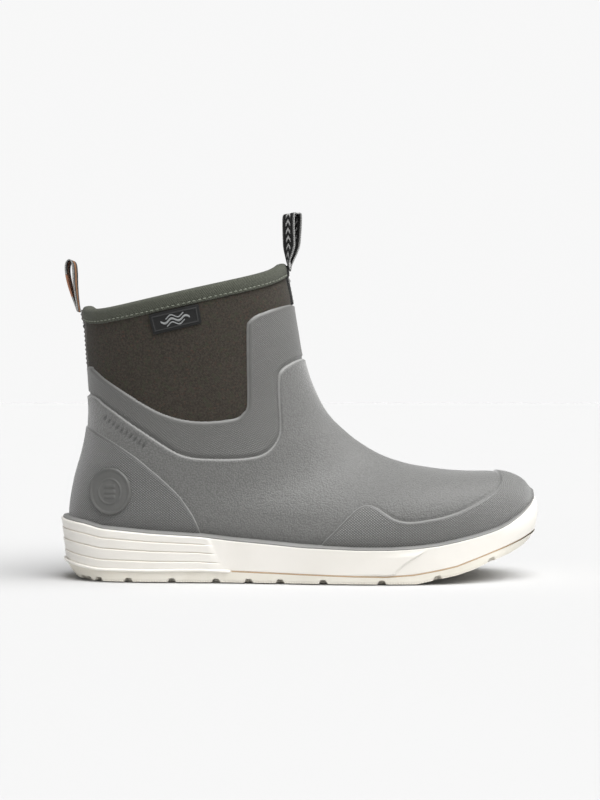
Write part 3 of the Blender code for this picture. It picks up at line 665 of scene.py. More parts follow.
def make_band():
    """The dotted band round the opening."""
    outside = -DEPTH_OPENING
    offset = raised_edge(outside, -3.3, -0.9, width=1.0, lip=0.22) - 0.9 * smoothstep(DEPTH_VAMP, -2.5, -1.7)
    keep = (outside > -OVERLAP) & (DEPTH_VAMP < 3.5) & SEEN
    piece = shaped_panel("ankle_band_skin", offset, keep, leg_flow(), outside, dotted_paint())
    place(piece, "boot", "ankle_band", slot="band_rubber")


def make_vamp():
    """The grained upper from the band down to the welt."""
    bars = emboss_bars()
    offset = raised_edge(DEPTH_VAMP, -3.0, 0.0, lip=0.18) - 0.6 * bars + 0.12 * wobble(SKIN, 17.0, 1.1)
    offset -= 0.2 * np.maximum(smoothstep(DEPTH_COUNTER, -2.2, -1.4), smoothstep(DEPTH_GUARD, -2.2, -1.4))
    keep = (DEPTH_VAMP > -OVERLAP) & SEEN
    flow = plan_flow(SKIN, HEEL_CENTRE, HEEL_RADIUS)
    # The bars are sunk into the skin and also passed as mark, for painted shade inside them.
    piece = shaped_panel("vamp_shell_skin", offset, keep, flow, DEPTH_VAMP, grain_paint(), mark=bars)
    place(piece, "boot", "vamp_shell", slot="upper_rubber")


def make_counter():
    """The knurled heel overlay."""
    offset = raised_edge(DEPTH_COUNTER, -1.0, 0.6, width=0.9, lip=0.10)
    keep = (DEPTH_COUNTER > -OVERLAP) & (ABOVE_WELT > -3.0)
    paint = knurl_paint("counter_knurl", (0.070, 0.070, 0.067), (0.122, 0.122, 0.117), 1.9)
    flow = plan_flow(SKIN, HEEL_CENTRE, HEEL_RADIUS)
    piece = shaped_panel("heel_counter_skin", offset, keep, flow, DEPTH_COUNTER, paint)
    place(piece, "boot", "heel_counter", slot="counter_rubber")


def make_guard():
    """The knurled toe guard."""
    offset = raised_edge(DEPTH_GUARD, -1.0, 0.9, width=0.9, lip=0.12)
    keep = (DEPTH_GUARD > -OVERLAP) & (ABOVE_WELT > -3.0)
    paint = knurl_paint("guard_knurl", (0.084, 0.084, 0.080), (0.150, 0.150, 0.143), 1.9)
    flow = plan_flow(SKIN, TOE_CENTRE, TOE_RADIUS)
    points = SKIN + NORMALS * offset[..., None]
    quads = grid_faces(len(STEPS), COLUMNS, True, keep)
    points, faces, uv, depth = compact(points.reshape(-1, 3), quads, flow.reshape(-1, 2),
                                       DEPTH_GUARD.reshape(-1, 1))
    last_ring = SKIN[-1] + NORMALS[-1] * offset[-1][:, None]
    order = np.array([int(np.argmin(np.linalg.norm(points - corner, axis=1))) for corner in last_ring])
    centre = last_ring.mean(axis=0)
    tip = np.array(TOE_TIP) + (1.0, 0.0, 0.0)
    turns = np.linspace(0, math.pi / 2, 9)[1:-1]
    cap = [centre + (last_ring - centre) * math.cos(turn) + (tip - centre) * math.sin(turn) for turn in turns]
    cap.append(tip[None, :])
    before = order
    for ring in cap:
        start = len(points)
        here = start + np.arange(COLUMNS) if len(ring) > 1 else np.full(COLUMNS, start)
        for k in range(COLUMNS):
            after = (k + 1) % COLUMNS
            corners = [int(before[k]), int(before[after]), int(here[after]), int(here[k])]
            faces.append(tuple(dict.fromkeys(corners)))
        points = np.vstack([points, ring])
        uv = np.vstack([uv, plan_flow(ring, TOE_CENTRE, TOE_RADIUS)])
        depth = np.vstack([depth, np.full((len(ring), 1), 20.0)])
        before = here
    piece = new_object("toe_guard_skin", points, faces, paint, uv, depth)
    place(piece, "boot", "toe_guard", slot="guard_rubber")


def coarse_tree():
    """A ray target of the skin."""
    rows = SKIN[::3, ::2]
    quads = grid_faces(rows.shape[0], rows.shape[1], True)
    return BVHTree.FromPolygons([Vector(p) for p in rows.reshape(-1, 3)], quads.tolist())


TREE = coarse_tree()


def on_outer_side(x, z):
    """Point and normal on the outer side of the skin at a place in side view."""
    hit, normal, _, _ = TREE.ray_cast(Vector((x, -150.0, z)), Vector((0.0, 1.0, 0.0)))
    if normal.y > 0:
        normal = -normal
    return np.array(hit), np.array(normal)


def side_patch(name, places, heights, rows, columns, material, uv, closed=False):
    """A sheet laid on the outer side at given places and heights."""
    points = []
    for (x, z), height in zip(places, heights):
        hit, normal = on_outer_side(x, z)
        points.append(hit + normal * height)
    faces = grid_faces(rows, columns, closed).tolist()
    return new_object(name, points, faces, material, uv, np.array(heights)[:, None])


def make_disc():
    """The round heel emblem: a raised rim, a dished face and three grip bars."""
    rings = 34
    columns = 96
    places = []
    heights = []
    for i in range(rings):
        r = (rings - 1 - i) / (rings - 1) * 1.06
        for k in range(columns):
            turn = TURN * k / columns
            px = r * math.cos(turn)
            pz = r * math.sin(turn)
            places.append((DISC_CENTRE[0] + DISC_HALF[0] * px, DISC_CENTRE[1] + DISC_HALF[1] * pz))
            rim = smoothstep(r, 0.84, 0.90) * (1 - smoothstep(r, 0.96, 1.0))
            cup = smoothstep(r, 0.47, 0.51) * (1 - smoothstep(r, 0.54, 0.58))
            bar = 0.0
            for shift in (-0.22, 0.0, 0.22):
                inside = 1 - smoothstep(abs(pz - shift), 0.045, 0.085)
                bar = max(bar, inside * (1 - smoothstep(abs(px), 0.22, 0.28)))
            base = 1.5 - 2.9 * smoothstep(r, 0.98, 1.05)
            heights.append(base + 0.7 * rim + 0.6 * cup + 0.6 * bar)
    paint = rubber_paint("emblem_rubber", (0.092, 0.092, 0.088), (0.105, 0.105, 0.100), 0.38, 0.1, 0.06)
    piece = side_patch("heel_disc_skin", places, heights, rings, columns, paint, np.array(places), True)
    place(piece, "boot", "heel_disc", slot="emblem_rubber")


def make_label():
    """The rubber side patch with a raised border and a plain wave mark."""
    corners = np.array(LABEL_CORNERS)
    columns = 112
    rows = 52
    places = []
    heights = []
    flow = []
    marks = []
    wide, tall = LABEL_SIZE
    for i in range(rows):
        for k in range(columns):
            s = k / (columns - 1)
            t = i / (rows - 1)
            top = corners[0] + (corners[1] - corners[0]) * s
            bottom = corners[3] + (corners[2] - corners[3]) * s
            x, z = top + (bottom - top) * t
            a = min(s, 1 - s) * wide
            b = min(t, 1 - t) * tall
            corner = max(0.0, LABEL_CORNER - a) ** 2 + max(0.0, LABEL_CORNER - b) ** 2
            edge = min(a, b) if max(a, b) > LABEL_CORNER else LABEL_CORNER - math.sqrt(corner)
            border = smoothstep(edge, 1.7, 2.1) * (1 - smoothstep(edge, 2.6, 3.0))
            across = (s - 0.5) * wide
            down = (t - 0.5) * tall
            wave = down - 1.1 * math.sin(across * TURN / 9.0)
            mark = (1 - smoothstep(abs(wave), 0.45, 0.85)) * (1 - smoothstep(abs(across), 9.0, 9.8))
            bars = (1 - smoothstep(abs(abs(wave) - 2.3), 0.2, 0.55)) * (1 - smoothstep(abs(across), 5.6, 6.4))
            drop = -2.4 * (1 - smoothstep(edge, 0.0, 0.5))
            relief = max(border, mark, bars)
            pale = max(0.22 * border, mark, bars)
            places.append((x, z))
            flow.append((across, down))
            marks.append(pale)
            heights.append(-0.55 + drop + 0.38 * relief)
    p = Paint("label_rubber")
    raised = p.step(p.attribute(), 0.1, 0.75)
    grain = p.noise(1.0, 3.0)
    colour = p.mix(grain, (0.008, 0.008, 0.008), (0.018, 0.018, 0.018))
    colour = p.mix(p.times(raised, 0.8), colour, (0.30, 0.31, 0.31))
    paint = p.finish(colour, p.calc("MULTIPLY_ADD", grain, 0.2, 0.5), grain, 0.06, specular=0.2)
    piece = side_patch("side_label_skin", places, heights, rows, columns, paint, np.array(flow))
    store = piece.data.attributes["edge"]
    store.data.foreach_set("value", np.array(marks, dtype=np.float32))
    place(piece, "boot", "side_label", "label_mark", slot="label_rubber")


# ---------------------------------------------------------------- stitches


def stitch_row(name, places, ups, radius, sink, material):
    """A row of short thread stitches. Each place pair is a stitch's two ends; ups point off the cloth."""
    points = []
    faces = []
    sides = 7
    parts = 7
    for (a, b), up in zip(places, ups):
        start = len(points)
        run = (b - a) / np.linalg.norm(b - a)
        across = np.cross(run, up)
        for i in range(parts):
            t = i / (parts - 1)
            arch = math.sin(math.pi * t)
            middle = a + (b - a) * t + up * (arch * (radius + sink) - sink)
            r = radius * (0.55 + 0.45 * arch)
            for k in range(sides):
                turn = TURN * k / sides
                points.append(middle + across * math.cos(turn) * r + up * math.sin(turn) * r)
        for i in range(parts - 1):
            for k in range(sides):
                after = (k + 1) % sides
                row = start + i * sides
                faces.append((row + k, row + after, row + sides + after, row + sides + k))
        faces.append(tuple(start + k for k in range(sides)))
        faces.append(tuple(start + (parts - 1) * sides + k for k in reversed(range(sides))))
    return new_object(name, points, faces, material)


# ---------------------------------------------------------------- collar

COLLAR_STATIONS = 480


def collar_frame(count=COLLAR_STATIONS):
    """Places, outward normals and upward directions round the collar, with distance along it."""
    angles = np.arange(count) * TURN / count
    rings = skin_points(np.array([0.0, 0.05, 0.1]), angles)
    normals = grid_normals(rings)[0]
    ups = rings[0] - rings[1]
    ups /= np.linalg.norm(ups, axis=1, keepdims=True)
    lengths = np.linalg.norm(np.roll(rings[0], -1, axis=0) - rings[0], axis=1)
    along = np.concatenate([[0.0], np.cumsum(lengths)[:-1]])
    return rings[0], normals, ups, along


def make_binding():
    """The folded twill tape and its row of stitches."""
    base, normals, ups, along = collar_frame()
    section = [(-2.6, -7.9), (-1.9, -7.9), (-1.35, -7.7), (-1.1, -7.2), (-1.05, -6.6), (-1.2, -6.2),
               (-1.05, -5.7), (-0.75, -4.6), (-0.6, -3.2), (-0.62, -1.8), (-0.8, -0.6), (-1.2, 0.4), (-2.0, 1.1), (-3.2, 1.5),
               (-4.8, 1.6), (-6.3, 1.5), (-7.4, 1.1), (-8.0, 0.4), (-8.3, -0.8), (-8.35, -3.0), (-8.3, -6.6),
               (-8.0, -7.6), (-7.0, -7.8)]
    sag = 0.18 * np.sin(along / 3.1) + 0.35 * np.sin(along / 29.0 + 1.0)
    pull = 0.12 * np.cos(along * TURN / 3.4)
    rings = []
    flow = []
    v = 0.0
    for i, (offset, height) in enumerate(section):
        low = smoothstep(-height, 4.0, 7.0)
        out = offset - pull * low * (offset > -3)
        rise = height + 0.25 * sag * low
        rings.append(base + normals * np.asarray(out)[..., None] + ups * rise[..., None])
        if i:
            v += math.hypot(offset - section[i - 1][0], height - section[i - 1][1])
        flow.append(np.stack([along, np.full_like(along, v)], axis=1))
    points = np.concatenate(rings)
    faces = grid_faces(len(section), COLLAR_STATIONS, True).tolist()
    piece = new_object("topline_binding_tape", points, faces, twill_paint(), np.concatenate(flow))
    place(piece, "boot", "topline_binding", slot="binding_twill")

    pitch = 3.4
    count = int(along[-1] / pitch)
    places = []
    outs = []
    for i in range(count):
        ends = []
        for shift in (-1.15, 1.15):
            s = (i + 0.5) * pitch + shift
            spot = [np.interp(s, along, base[:, axis]) for axis in range(3)]
            normal = np.array([np.interp(s, along, normals[:, axis]) for axis in range(3)])
            up = np.array([np.interp(s, along, ups[:, axis]) for axis in range(3)])
            ends.append(np.array(spot) + normal * -1.15 + up * -6.25)
        places.append(ends)
        outs.append(normal)
    thread = thread_paint("seam_thread", (0.12, 0.13, 0.10), (0.30, 0.32, 0.26))
    stitches = stitch_row("binding_stitches", places, outs, 0.32, 0.35, thread)
    place(stitches, "boot", "binding_thread", slot="seam_thread")


LINING_DEPTH = 6.9


def make_lining():
    """The knitted sock seen inside the collar."""
    steps = np.linspace(0.0, 18.0, 150)
    angles = spread_angles(140)
    rings = skin_points(steps, angles)
    points = rings - grid_normals(rings) * LINING_DEPTH
    along = distance_along(points[:, 35])
    u = distance_along(points[10])
    flow = np.stack(np.broadcast_arrays(u[None, :], along[:, None]), axis=2).reshape(-1, 2)
    tip = np.array([[TOE_TIP[0] - LINING_DEPTH, TOE_TIP[1], TOE_TIP[2]]])
    count = len(steps) * len(angles)
    faces = grid_faces(len(steps), len(angles), True)[:, ::-1].tolist()
    last = count - len(angles)
    faces += [(last + (k + 1) % len(angles), last + k, count) for k in range(len(angles))]
    points = np.vstack([points.reshape(-1, 3), tip])
    flow = np.vstack([flow, [0.0, along[-1] + 10]])
    paint = cloth_paint("lining_knit", (0.030, 0.030, 0.031), (0.085, 0.085, 0.088), 1.6)
    piece = new_object("lining_sock", points, faces, paint, flow)
    place(piece, "boot", "lining", slot="lining_knit")


# ---------------------------------------------------------------- webbing


def ribbon(name, centre, across, width, thickness, material):
    """A closed or open band of webbing with rounded selvedges. centre and across are lists of points."""
    profile = [(-0.5, 0.0), (-0.495, 0.32), (-0.46, 0.5), (-0.3, 0.5), (-0.1, 0.5), (0.1, 0.5), (0.3, 0.5),
               (0.46, 0.5), (0.495, 0.32), (0.5, 0.0), (0.495, -0.32), (0.46, -0.5), (0.3, -0.5), (0.1, -0.5),
               (-0.1, -0.5), (-0.3, -0.5), (-0.46, -0.5), (-0.495, -0.32)]
    centre = np.array(centre)
    across = np.array(across)
    run = np.gradient(centre, axis=0)
    run /= np.linalg.norm(run, axis=1, keepdims=True)
    across = across - run * np.sum(across * run, axis=1, keepdims=True)
    across /= np.linalg.norm(across, axis=1, keepdims=True)
    face = np.cross(run, across)
    along = np.concatenate([[0.0], np.cumsum(np.linalg.norm(np.diff(centre, axis=0), axis=1))])
    points = []
    flow = []
    for here, side, out, v in zip(centre, across, face, along):
        for a, b in profile:
            points.append(here + side * a * width + out * b * thickness)
            flow.append((a * width, v))
    faces = grid_faces(len(centre), len(profile), True).tolist()
    faces.append(tuple(reversed(range(len(profile)))))
    faces.append(tuple(len(points) - len(profile) + k for k in range(len(profile))))
    return new_object(name, points, faces, material, np.array(flow), sharp=50)


def loop_path(route, root, parts=9):
    """Up one leg of a loop, over its top and down the other, starting and ending at its root."""
    rows = [root] + route + [root]
    return cubic_through(rows, np.linspace(0, len(rows) - 1, (len(rows) - 1) * parts + 1))


def make_front_loop():
    """The twisted front finger loop."""
    path = loop_path(FRONT_LOOP, HINGE_FRONT)
    middle = -5.4
    centre = []
    across = []
    for x, z in path:
        twist = math.radians(31) * float(smoothstep(z, 199.0, 216.0))
        close = 1 - 0.40 * float(smoothstep(z, 199.0, 216.0))
        offset = (x - middle) * close
        centre.append((middle + offset * math.cos(twist), offset * math.sin(twist), z))
        across.append((math.sin(twist), -math.cos(twist), 0.0))
    paint = webbing_paint("front_loop_webbing", (0.005, 0.005, 0.005), (0.018, 0.018, 0.018),
                          (0.012, 0.012, 0.012), -0.2, 0.2, (0.42, 0.42, 0.41), mark=(0.62, 0.62, 0.61))
    piece = ribbon("front_pull_loop_webbing", centre, across, WEBBING_WIDTH, 0.9, paint)
    place(piece, "front_loop", "front_pull_loop", slot="front_loop_webbing")


def make_rear_loop():
    """The rear finger loop, seen almost edge on."""
    path = loop_path(REAR_LOOP, HINGE_REAR)
    centre = []
    across = []
    for x, z in path:
        twist = math.radians(-4) * float(smoothstep(z, 175.0, 195.0))
        centre.append((x, 0.0, z))
        across.append((math.sin(twist), -math.cos(twist), 0.0))
    paint = webbing_paint("rear_loop_webbing", (0.022, 0.022, 0.021), (0.06, 0.06, 0.058), (0.30, 0.13, 0.045),
                          -2.6, 2.6, (0.34, 0.34, 0.33), glow=((0.30, 0.115, 0.05), 9.0, 24.0))
    piece = ribbon("rear_pull_loop_webbing", centre, across, WEBBING_WIDTH, 0.9, paint)
    place(piece, "rear_loop", "rear_pull_loop", slot="rear_loop_webbing")


def leg_line(angle, low, high, offset, count):
    """Points down the front or back of the leg, with their outward normals."""
    steps = np.linspace(low, high, count)
    rings = skin_points(np.concatenate([steps, steps + 0.02]), np.array([angle - 0.02, angle, angle + 0.02]))
    here = rings[:count, 1]
    down = rings[count:, 1] - here
    across = rings[:count, 2] - rings[:count, 0]
    normal = np.cross(across, down)
    normal /= np.linalg.norm(normal, axis=1, keepdims=True)
    return here + normal * offset, across, normal


def make_strap(name, angle, low, high, width, node, paint, slot):
    """A webbing tail sewn down the leg, bent round it, with a stitch row along each edge."""
    count = 60
    steps = np.linspace(low, high, count)
    half = np.arcsin(width / 2 / cubic_through(SECTIONS, steps)[:, 4])
    columns = 13
    shares = np.linspace(-1, 1, columns)
    rings = []
    normals = []
    for step, spread in zip(steps, half):
        turned = angle + np.concatenate([shares, [1.2]]) * spread
        ring = skin_points(np.array([step, step + 0.02, step + 0.04]), turned)
        down = ring[1] - ring[0]
        across = np.gradient(ring[0], axis=0)
        normal = np.cross(across, down)
        normal /= np.linalg.norm(normal, axis=1, keepdims=True)
        rings.append(ring[0][:columns])
        normals.append(normal[:columns])
    rings = np.array(rings)
    normals = np.array(normals)
    ends = np.minimum(np.arange(count) + 3, np.arange(count)[::-1])[:, None] / 6
    border = np.minimum(1 - np.abs(shares)[None, :], ends)
    over_tape = 1.2 * (1 - smoothstep(steps, 0.34, 0.50))[:, None]
    height = -2.6 + (1.55 + over_tape) * smoothstep(border, -0.01, 0.12)
    points = rings + normals * height[..., None]
    along = distance_along(points[:, 6])
    flow = np.stack(np.broadcast_arrays(shares[None, :] * width / 2, along[:, None]), axis=2).reshape(-1, 2)
    faces = grid_faces(count, columns, False).tolist()
    piece = new_object(name, points.reshape(-1, 3), faces, paint, flow)
    place(piece, "boot", node, slot=slot)
    places = []
    ups = []
    pitch = 2.9
    for k in (2, columns - 3):
        for i in range(int(along[-1] / pitch) - 1):
            ends = []
            for shift in (0.35, 2.45):
                row = np.interp((i + 0.6) * pitch + shift, along, np.arange(count))
                j = int(row)
                ends.append(points[j, k] + (points[min(j + 1, count - 1), k] - points[j, k]) * (row - j))
            places.append(ends)
            ups.append(normals[j, k])
    thread = thread_paint(name + "_thread", (0.12, 0.12, 0.12), (0.34, 0.34, 0.33))
    stitches = stitch_row(name + "_stitches", places, ups, 0.26, 0.28, thread)
    place(stitches, "boot", slot="seam_thread")


def make_bartack(name, angle, low, high, half_width, node):
    """A dense zigzag of thread that locks the foot of a loop."""
    places = []
    ups = []
    turns = 11
    for i in range(turns):
        t = -1 + 2 * i / (turns - 1)
        ends = []
        for step, shift in ((low, 0.0), (high, 0.45)):
            spread = math.asin((t * half_width + shift) / 48.5)
            point, _, normal = leg_line(angle + spread, step, step + 0.02, -1.0, 2)
            ends.append(point[0])
        places.append(ends)
        ups.append(normal[0])
    paint = thread_paint(name + "_thread", (0.10, 0.10, 0.10), (0.30, 0.30, 0.29))
    piece = stitch_row(name + "_stitches", places, ups, 0.42, 0.25, paint)
    place(piece, "boot", node, slot="bartack_thread")


def make_straps():
    """Tails and bartacks at the front and the back."""
    front = webbing_paint("front_strap_webbing", (0.016, 0.016, 0.016), (0.045, 0.045, 0.044),
                          (0.02, 0.02, 0.02), -0.2, 0.2, (0.10, 0.10, 0.10))
    rear = webbing_paint("rear_strap_webbing", (0.030, 0.028, 0.026), (0.080, 0.076, 0.070), (0.22, 0.11, 0.05),
                         -2.6, 2.6, (0.20, 0.19, 0.18))
    make_strap("front_strap_tape", 0.0, 0.04, 1.24, 13.0, "front_strap", front, "strap_webbing")
    make_strap("rear_strap_tape", math.pi, 0.04, 1.72, 15.0, "rear_strap", rear, "rear_strap_webbing")
    make_bartack("front_bartack", 0.0, 0.50, 0.62, 5.4, "front_bartack")
    make_bartack("rear_bartack", math.pi, 0.50, 0.62, 6.4, "rear_bartack")


# ---------------------------------------------------------------- sole

TOE_ROUNDING = 26                # smoothing passes at the toe; the first two go all round


def plan_outline(count):
    """Plan outline of the upper at the welt: points, outward normals and distance along it."""
    sides = 70
    ends = 50
    rays = [(TOE_CENTRE - (TOE_CENTRE - HEEL_CENTRE) * k / sides, -90.0) for k in range(sides)]
    rays += [(HEEL_CENTRE, -90.0 - 180.0 * k / ends) for k in range(ends)]
    rays += [(HEEL_CENTRE + (TOE_CENTRE - HEEL_CENTRE) * k / sides, 90.0) for k in range(sides)]
    rays += [(TOE_CENTRE, 90.0 - 180.0 * k / ends) for k in range(ends)]
    outline = []
    for x, degrees in rays:
        direction = Vector((math.cos(math.radians(degrees)), math.sin(math.radians(degrees)), 0.0))
        reach = 0.0
        for drop in (0.0, 0.0, 0.0, 2.0, 4.0, 6.0):
            z = float(welt_height(x + direction.x * reach)) - drop
            origin = Vector((x, 0.0, z))
            hit = TREE.ray_cast(origin + direction * 200, -direction)[0]
            distance = direction.dot(hit - origin)
            reach = distance if drop == 0.0 else max(reach, distance)
        outline.append((x + direction.x * reach, direction.y * reach))
    outline = np.array(outline)
    front = outline[:, 0].max()
    toe = smoothstep(outline[:, 0], TOE_CENTRE + 6, TOE_CENTRE + 24)[:, None]
    for turn in range(TOE_ROUNDING):
        share = np.where(turn < 2, 1.0, toe)
        mean = 0.5 * outline + 0.25 * (np.roll(outline, 1, axis=0) + np.roll(outline, -1, axis=0))
        outline = outline + (mean - outline) * share
    stretch = (front - TOE_CENTRE) / (outline[:, 0].max() - TOE_CENTRE)
    beyond = np.maximum(outline[:, 0] - TOE_CENTRE, 0.0)
    outline[:, 0] += beyond * (stretch - 1)
    closed = np.vstack([outline, outline[:1]])
    along = distance_along(closed)
    places = np.linspace(0.0, along[-1], count, endpoint=False)
    even = np.stack([np.interp(places, along, closed[:, i]) for i in range(2)], axis=1)
    for _ in range(2):
        even = 0.5 * even + 0.25 * (np.roll(even, 1, axis=0) + np.roll(even, -1, axis=0))
    run = np.roll(even, -1, axis=0) - np.roll(even, 1, axis=0)
    normals = np.stack([run[:, 1], -run[:, 0]], axis=1)
    normals /= np.linalg.norm(normals, axis=1, keepdims=True)
    if np.sum(normals * even) < 0:
        normals = -normals
    return even, normals, places


def sole_band(name, count, levels, out, height, material, edge=None, closed_section=False):
    """A skin swept round the sole. out(t, x, along) and height(t, x) place each level; edge(t, x) marks it."""
    even, normals, along = plan_outline(count)
    rings = []
    flow = []
    marks = []
    for t in levels:
        ring = even + normals * np.asarray(out(t, even[:, 0], along))[:, None]
        z = height(t, ring[:, 0])
        rings.append(np.column_stack([ring, z]))
        flow.append(np.column_stack([along, z]))
        marks.append(edge(t, ring[:, 0]) if edge else np.zeros(count))
    points = np.concatenate(rings)
    faces = grid_faces(len(levels), count, True).tolist()
    if closed_section:
        last = (len(levels) - 1) * count
        faces += [(last + k, last + (k + 1) % count, (k + 1) % count, k) for k in range(count)]
    return new_object(name, points, faces, material, np.concatenate(flow), np.concatenate(marks)[:, None])


def profile_at(profile, t):
    """Out and height of a section at a share of its length."""
    row = cubic_through(profile, np.array([t * (len(profile) - 1)]))[0]
    return row[0], row[1]


WELT_PROFILE = [(-1.8, 1.1), (0.3, 0.5), (1.2, 0.2), (2.6, -0.1), (3.7, -0.5), (4.2, -1.0), (4.2, -1.7),
                (3.0, -2.4)]


def make_welt():
    """The pale lip that slopes from the upper to the sidewall."""
    paint = rubber_paint("welt_rubber", (0.215, 0.215, 0.208), (0.18, 0.18, 0.174), 0.55, 0.03, 0.05)
    levels = np.linspace(0, 1, 22)

    def out(t, x, along):
        return np.full_like(x, profile_at(WELT_PROFILE, t)[0])

    def height(t, x):
        return welt_height(x) + profile_at(WELT_PROFILE, t)[1]

    piece = sole_band("welt_lip", 700, levels, out, height, paint, closed_section=True)
    place(piece, "boot", "welt", slot="welt_rubber")


WALL_DROP = 1.5
HEEL_GROOVES = [(-57.5, 0.235), (-52.5, 0.49), (-50.0, 0.765)]


def make_wall():
    """White cup sidewall with heel grooves, a slanted step and a crescent near the toe."""
    levels = np.concatenate([[0.0, 0.012, 0.03], np.linspace(0.05, 0.97, 93), [0.985, 1.0]])

    def groove(t, x):
        total = np.zeros_like(x)
        for end, place_share in HEEL_GROOVES:
            line = np.exp(-((t - place_share) / 0.014) ** 2)
            total = np.maximum(total, line * (1 - smoothstep(x, end - 3.0, end)))
        return total

    def board(t):
        """Each band between two grooves stands out at its top and falls back to the next groove."""
        starts = [0.0] + [share for _, share in HEEL_GROOVES] + [1.0]
        for low, high in zip(starts[:-1], starts[1:]):
            if t < high:
                return 0.5 * (1 - (t - low) / (high - low))
        return 0.0

    def out(t, x, along):
        heel = 1 - smoothstep(x, -150.0, -110.0)
        toe = smoothstep(x, 120.0, 148.0)
        lean = 4.6 - 1.2 * t - 1.8 * heel * t + toe * (0.6 + 1.9 * math.sin(math.pi * t ** 0.9) + 0.8 * t)
        corner = 0.9 * (1 - smoothstep(t, 0.0, 0.035)) + 0.8 * smoothstep(t, 0.975, 1.0)
        slant = x + 14.0 * (1 - t) + 4.5 * t
        raised = (0.55 + board(t)) * (1 - smoothstep(slant, -43.5 - 9.0 * t, -41.5))
        raised = raised * smoothstep(t, 0.0, 0.04) * (1 - smoothstep(t, 0.96, 1.0))
        crescent = x - (58.0 + 24.0 * (1 - t) ** 1.6)
        sculpt = 0.95 * (1 - smoothstep(crescent, -0.8, 0.8)) * smoothstep(crescent, -30.0, -2.0)
        sculpt = sculpt * smoothstep(t, 0.05, 0.3) * (1 - smoothstep(t, 0.9, 1.0))
        return lean - corner + raised + sculpt - 0.6 * groove(t, x)

    def height(t, x):
        top = welt_height(x) - WALL_DROP
        bottom = stripe_height(x) + 0.75
        return top + (bottom - top) * t

    # The edge attribute carries the grooves, where the wall paint puts its painted tan shade.
    def edge(t, x):
        return groove(t, x)

    piece = sole_band("midsole_wall_skin", 860, levels, out, height, wall_paint(), edge=edge)
    place(piece, "boot", "midsole_wall", slot="sidewall_rubber")


def make_stripe():
    """Strip between sidewall and outsole, painted tan as the shade of the parting groove, and the bead behind
    it.
    """
    profile = [(2.0, 1.0), (3.0, 1.0), (3.4, 0.9), (3.6, 0.5), (3.4, 0.1), (3.0, 0.0), (2.0, 0.0)]

    def out(t, x, along):
        behind = 1 - smoothstep(x, -45.0, -42.5)
        heel = 1 - smoothstep(x, -150.0, -120.0)
        return profile_at(profile, t)[0] + (1.35 * behind - 1.2 * heel) * math.sin(math.pi * t)

    def height(t, x):
        behind = 1 - smoothstep(x, -45.0, -42.5)
        middle = stripe_height(x) + 0.5
        return middle + (profile_at(profile, t)[1] - 0.5) * (1 + 0.9 * behind)

    levels = np.linspace(0, 1, 13)
    piece = sole_band("foxing_stripe_bead", 700, levels, out, height, stripe_shade_paint(), closed_section=True)
    place(piece, "boot", "foxing_stripe", slot="stripe_rubber")


NOTCHES = [-137.2, -133.0, -125.8, -107.2, -80.0, -52.3, -31.7, -12.0, 14.6, 50.4, 84.3, 118.2]
NOTCH_TALL = 2.9
SIPE_PITCH = 1.6
EDGE_LIFT = 0.75


def notch_depth(x, rise):
    """Trapezoid cuts up into the edge of the tread, 0 to 1."""
    depth = np.zeros_like(x)
    for centre in NOTCHES:
        half = 2.8 - 0.5 * rise
        depth = np.maximum(depth, 1 - smoothstep(np.abs(x - centre), half - 0.25, half + 0.25))
    return depth * (1 - smoothstep(rise, NOTCH_TALL - 0.2, NOTCH_TALL + 0.2))


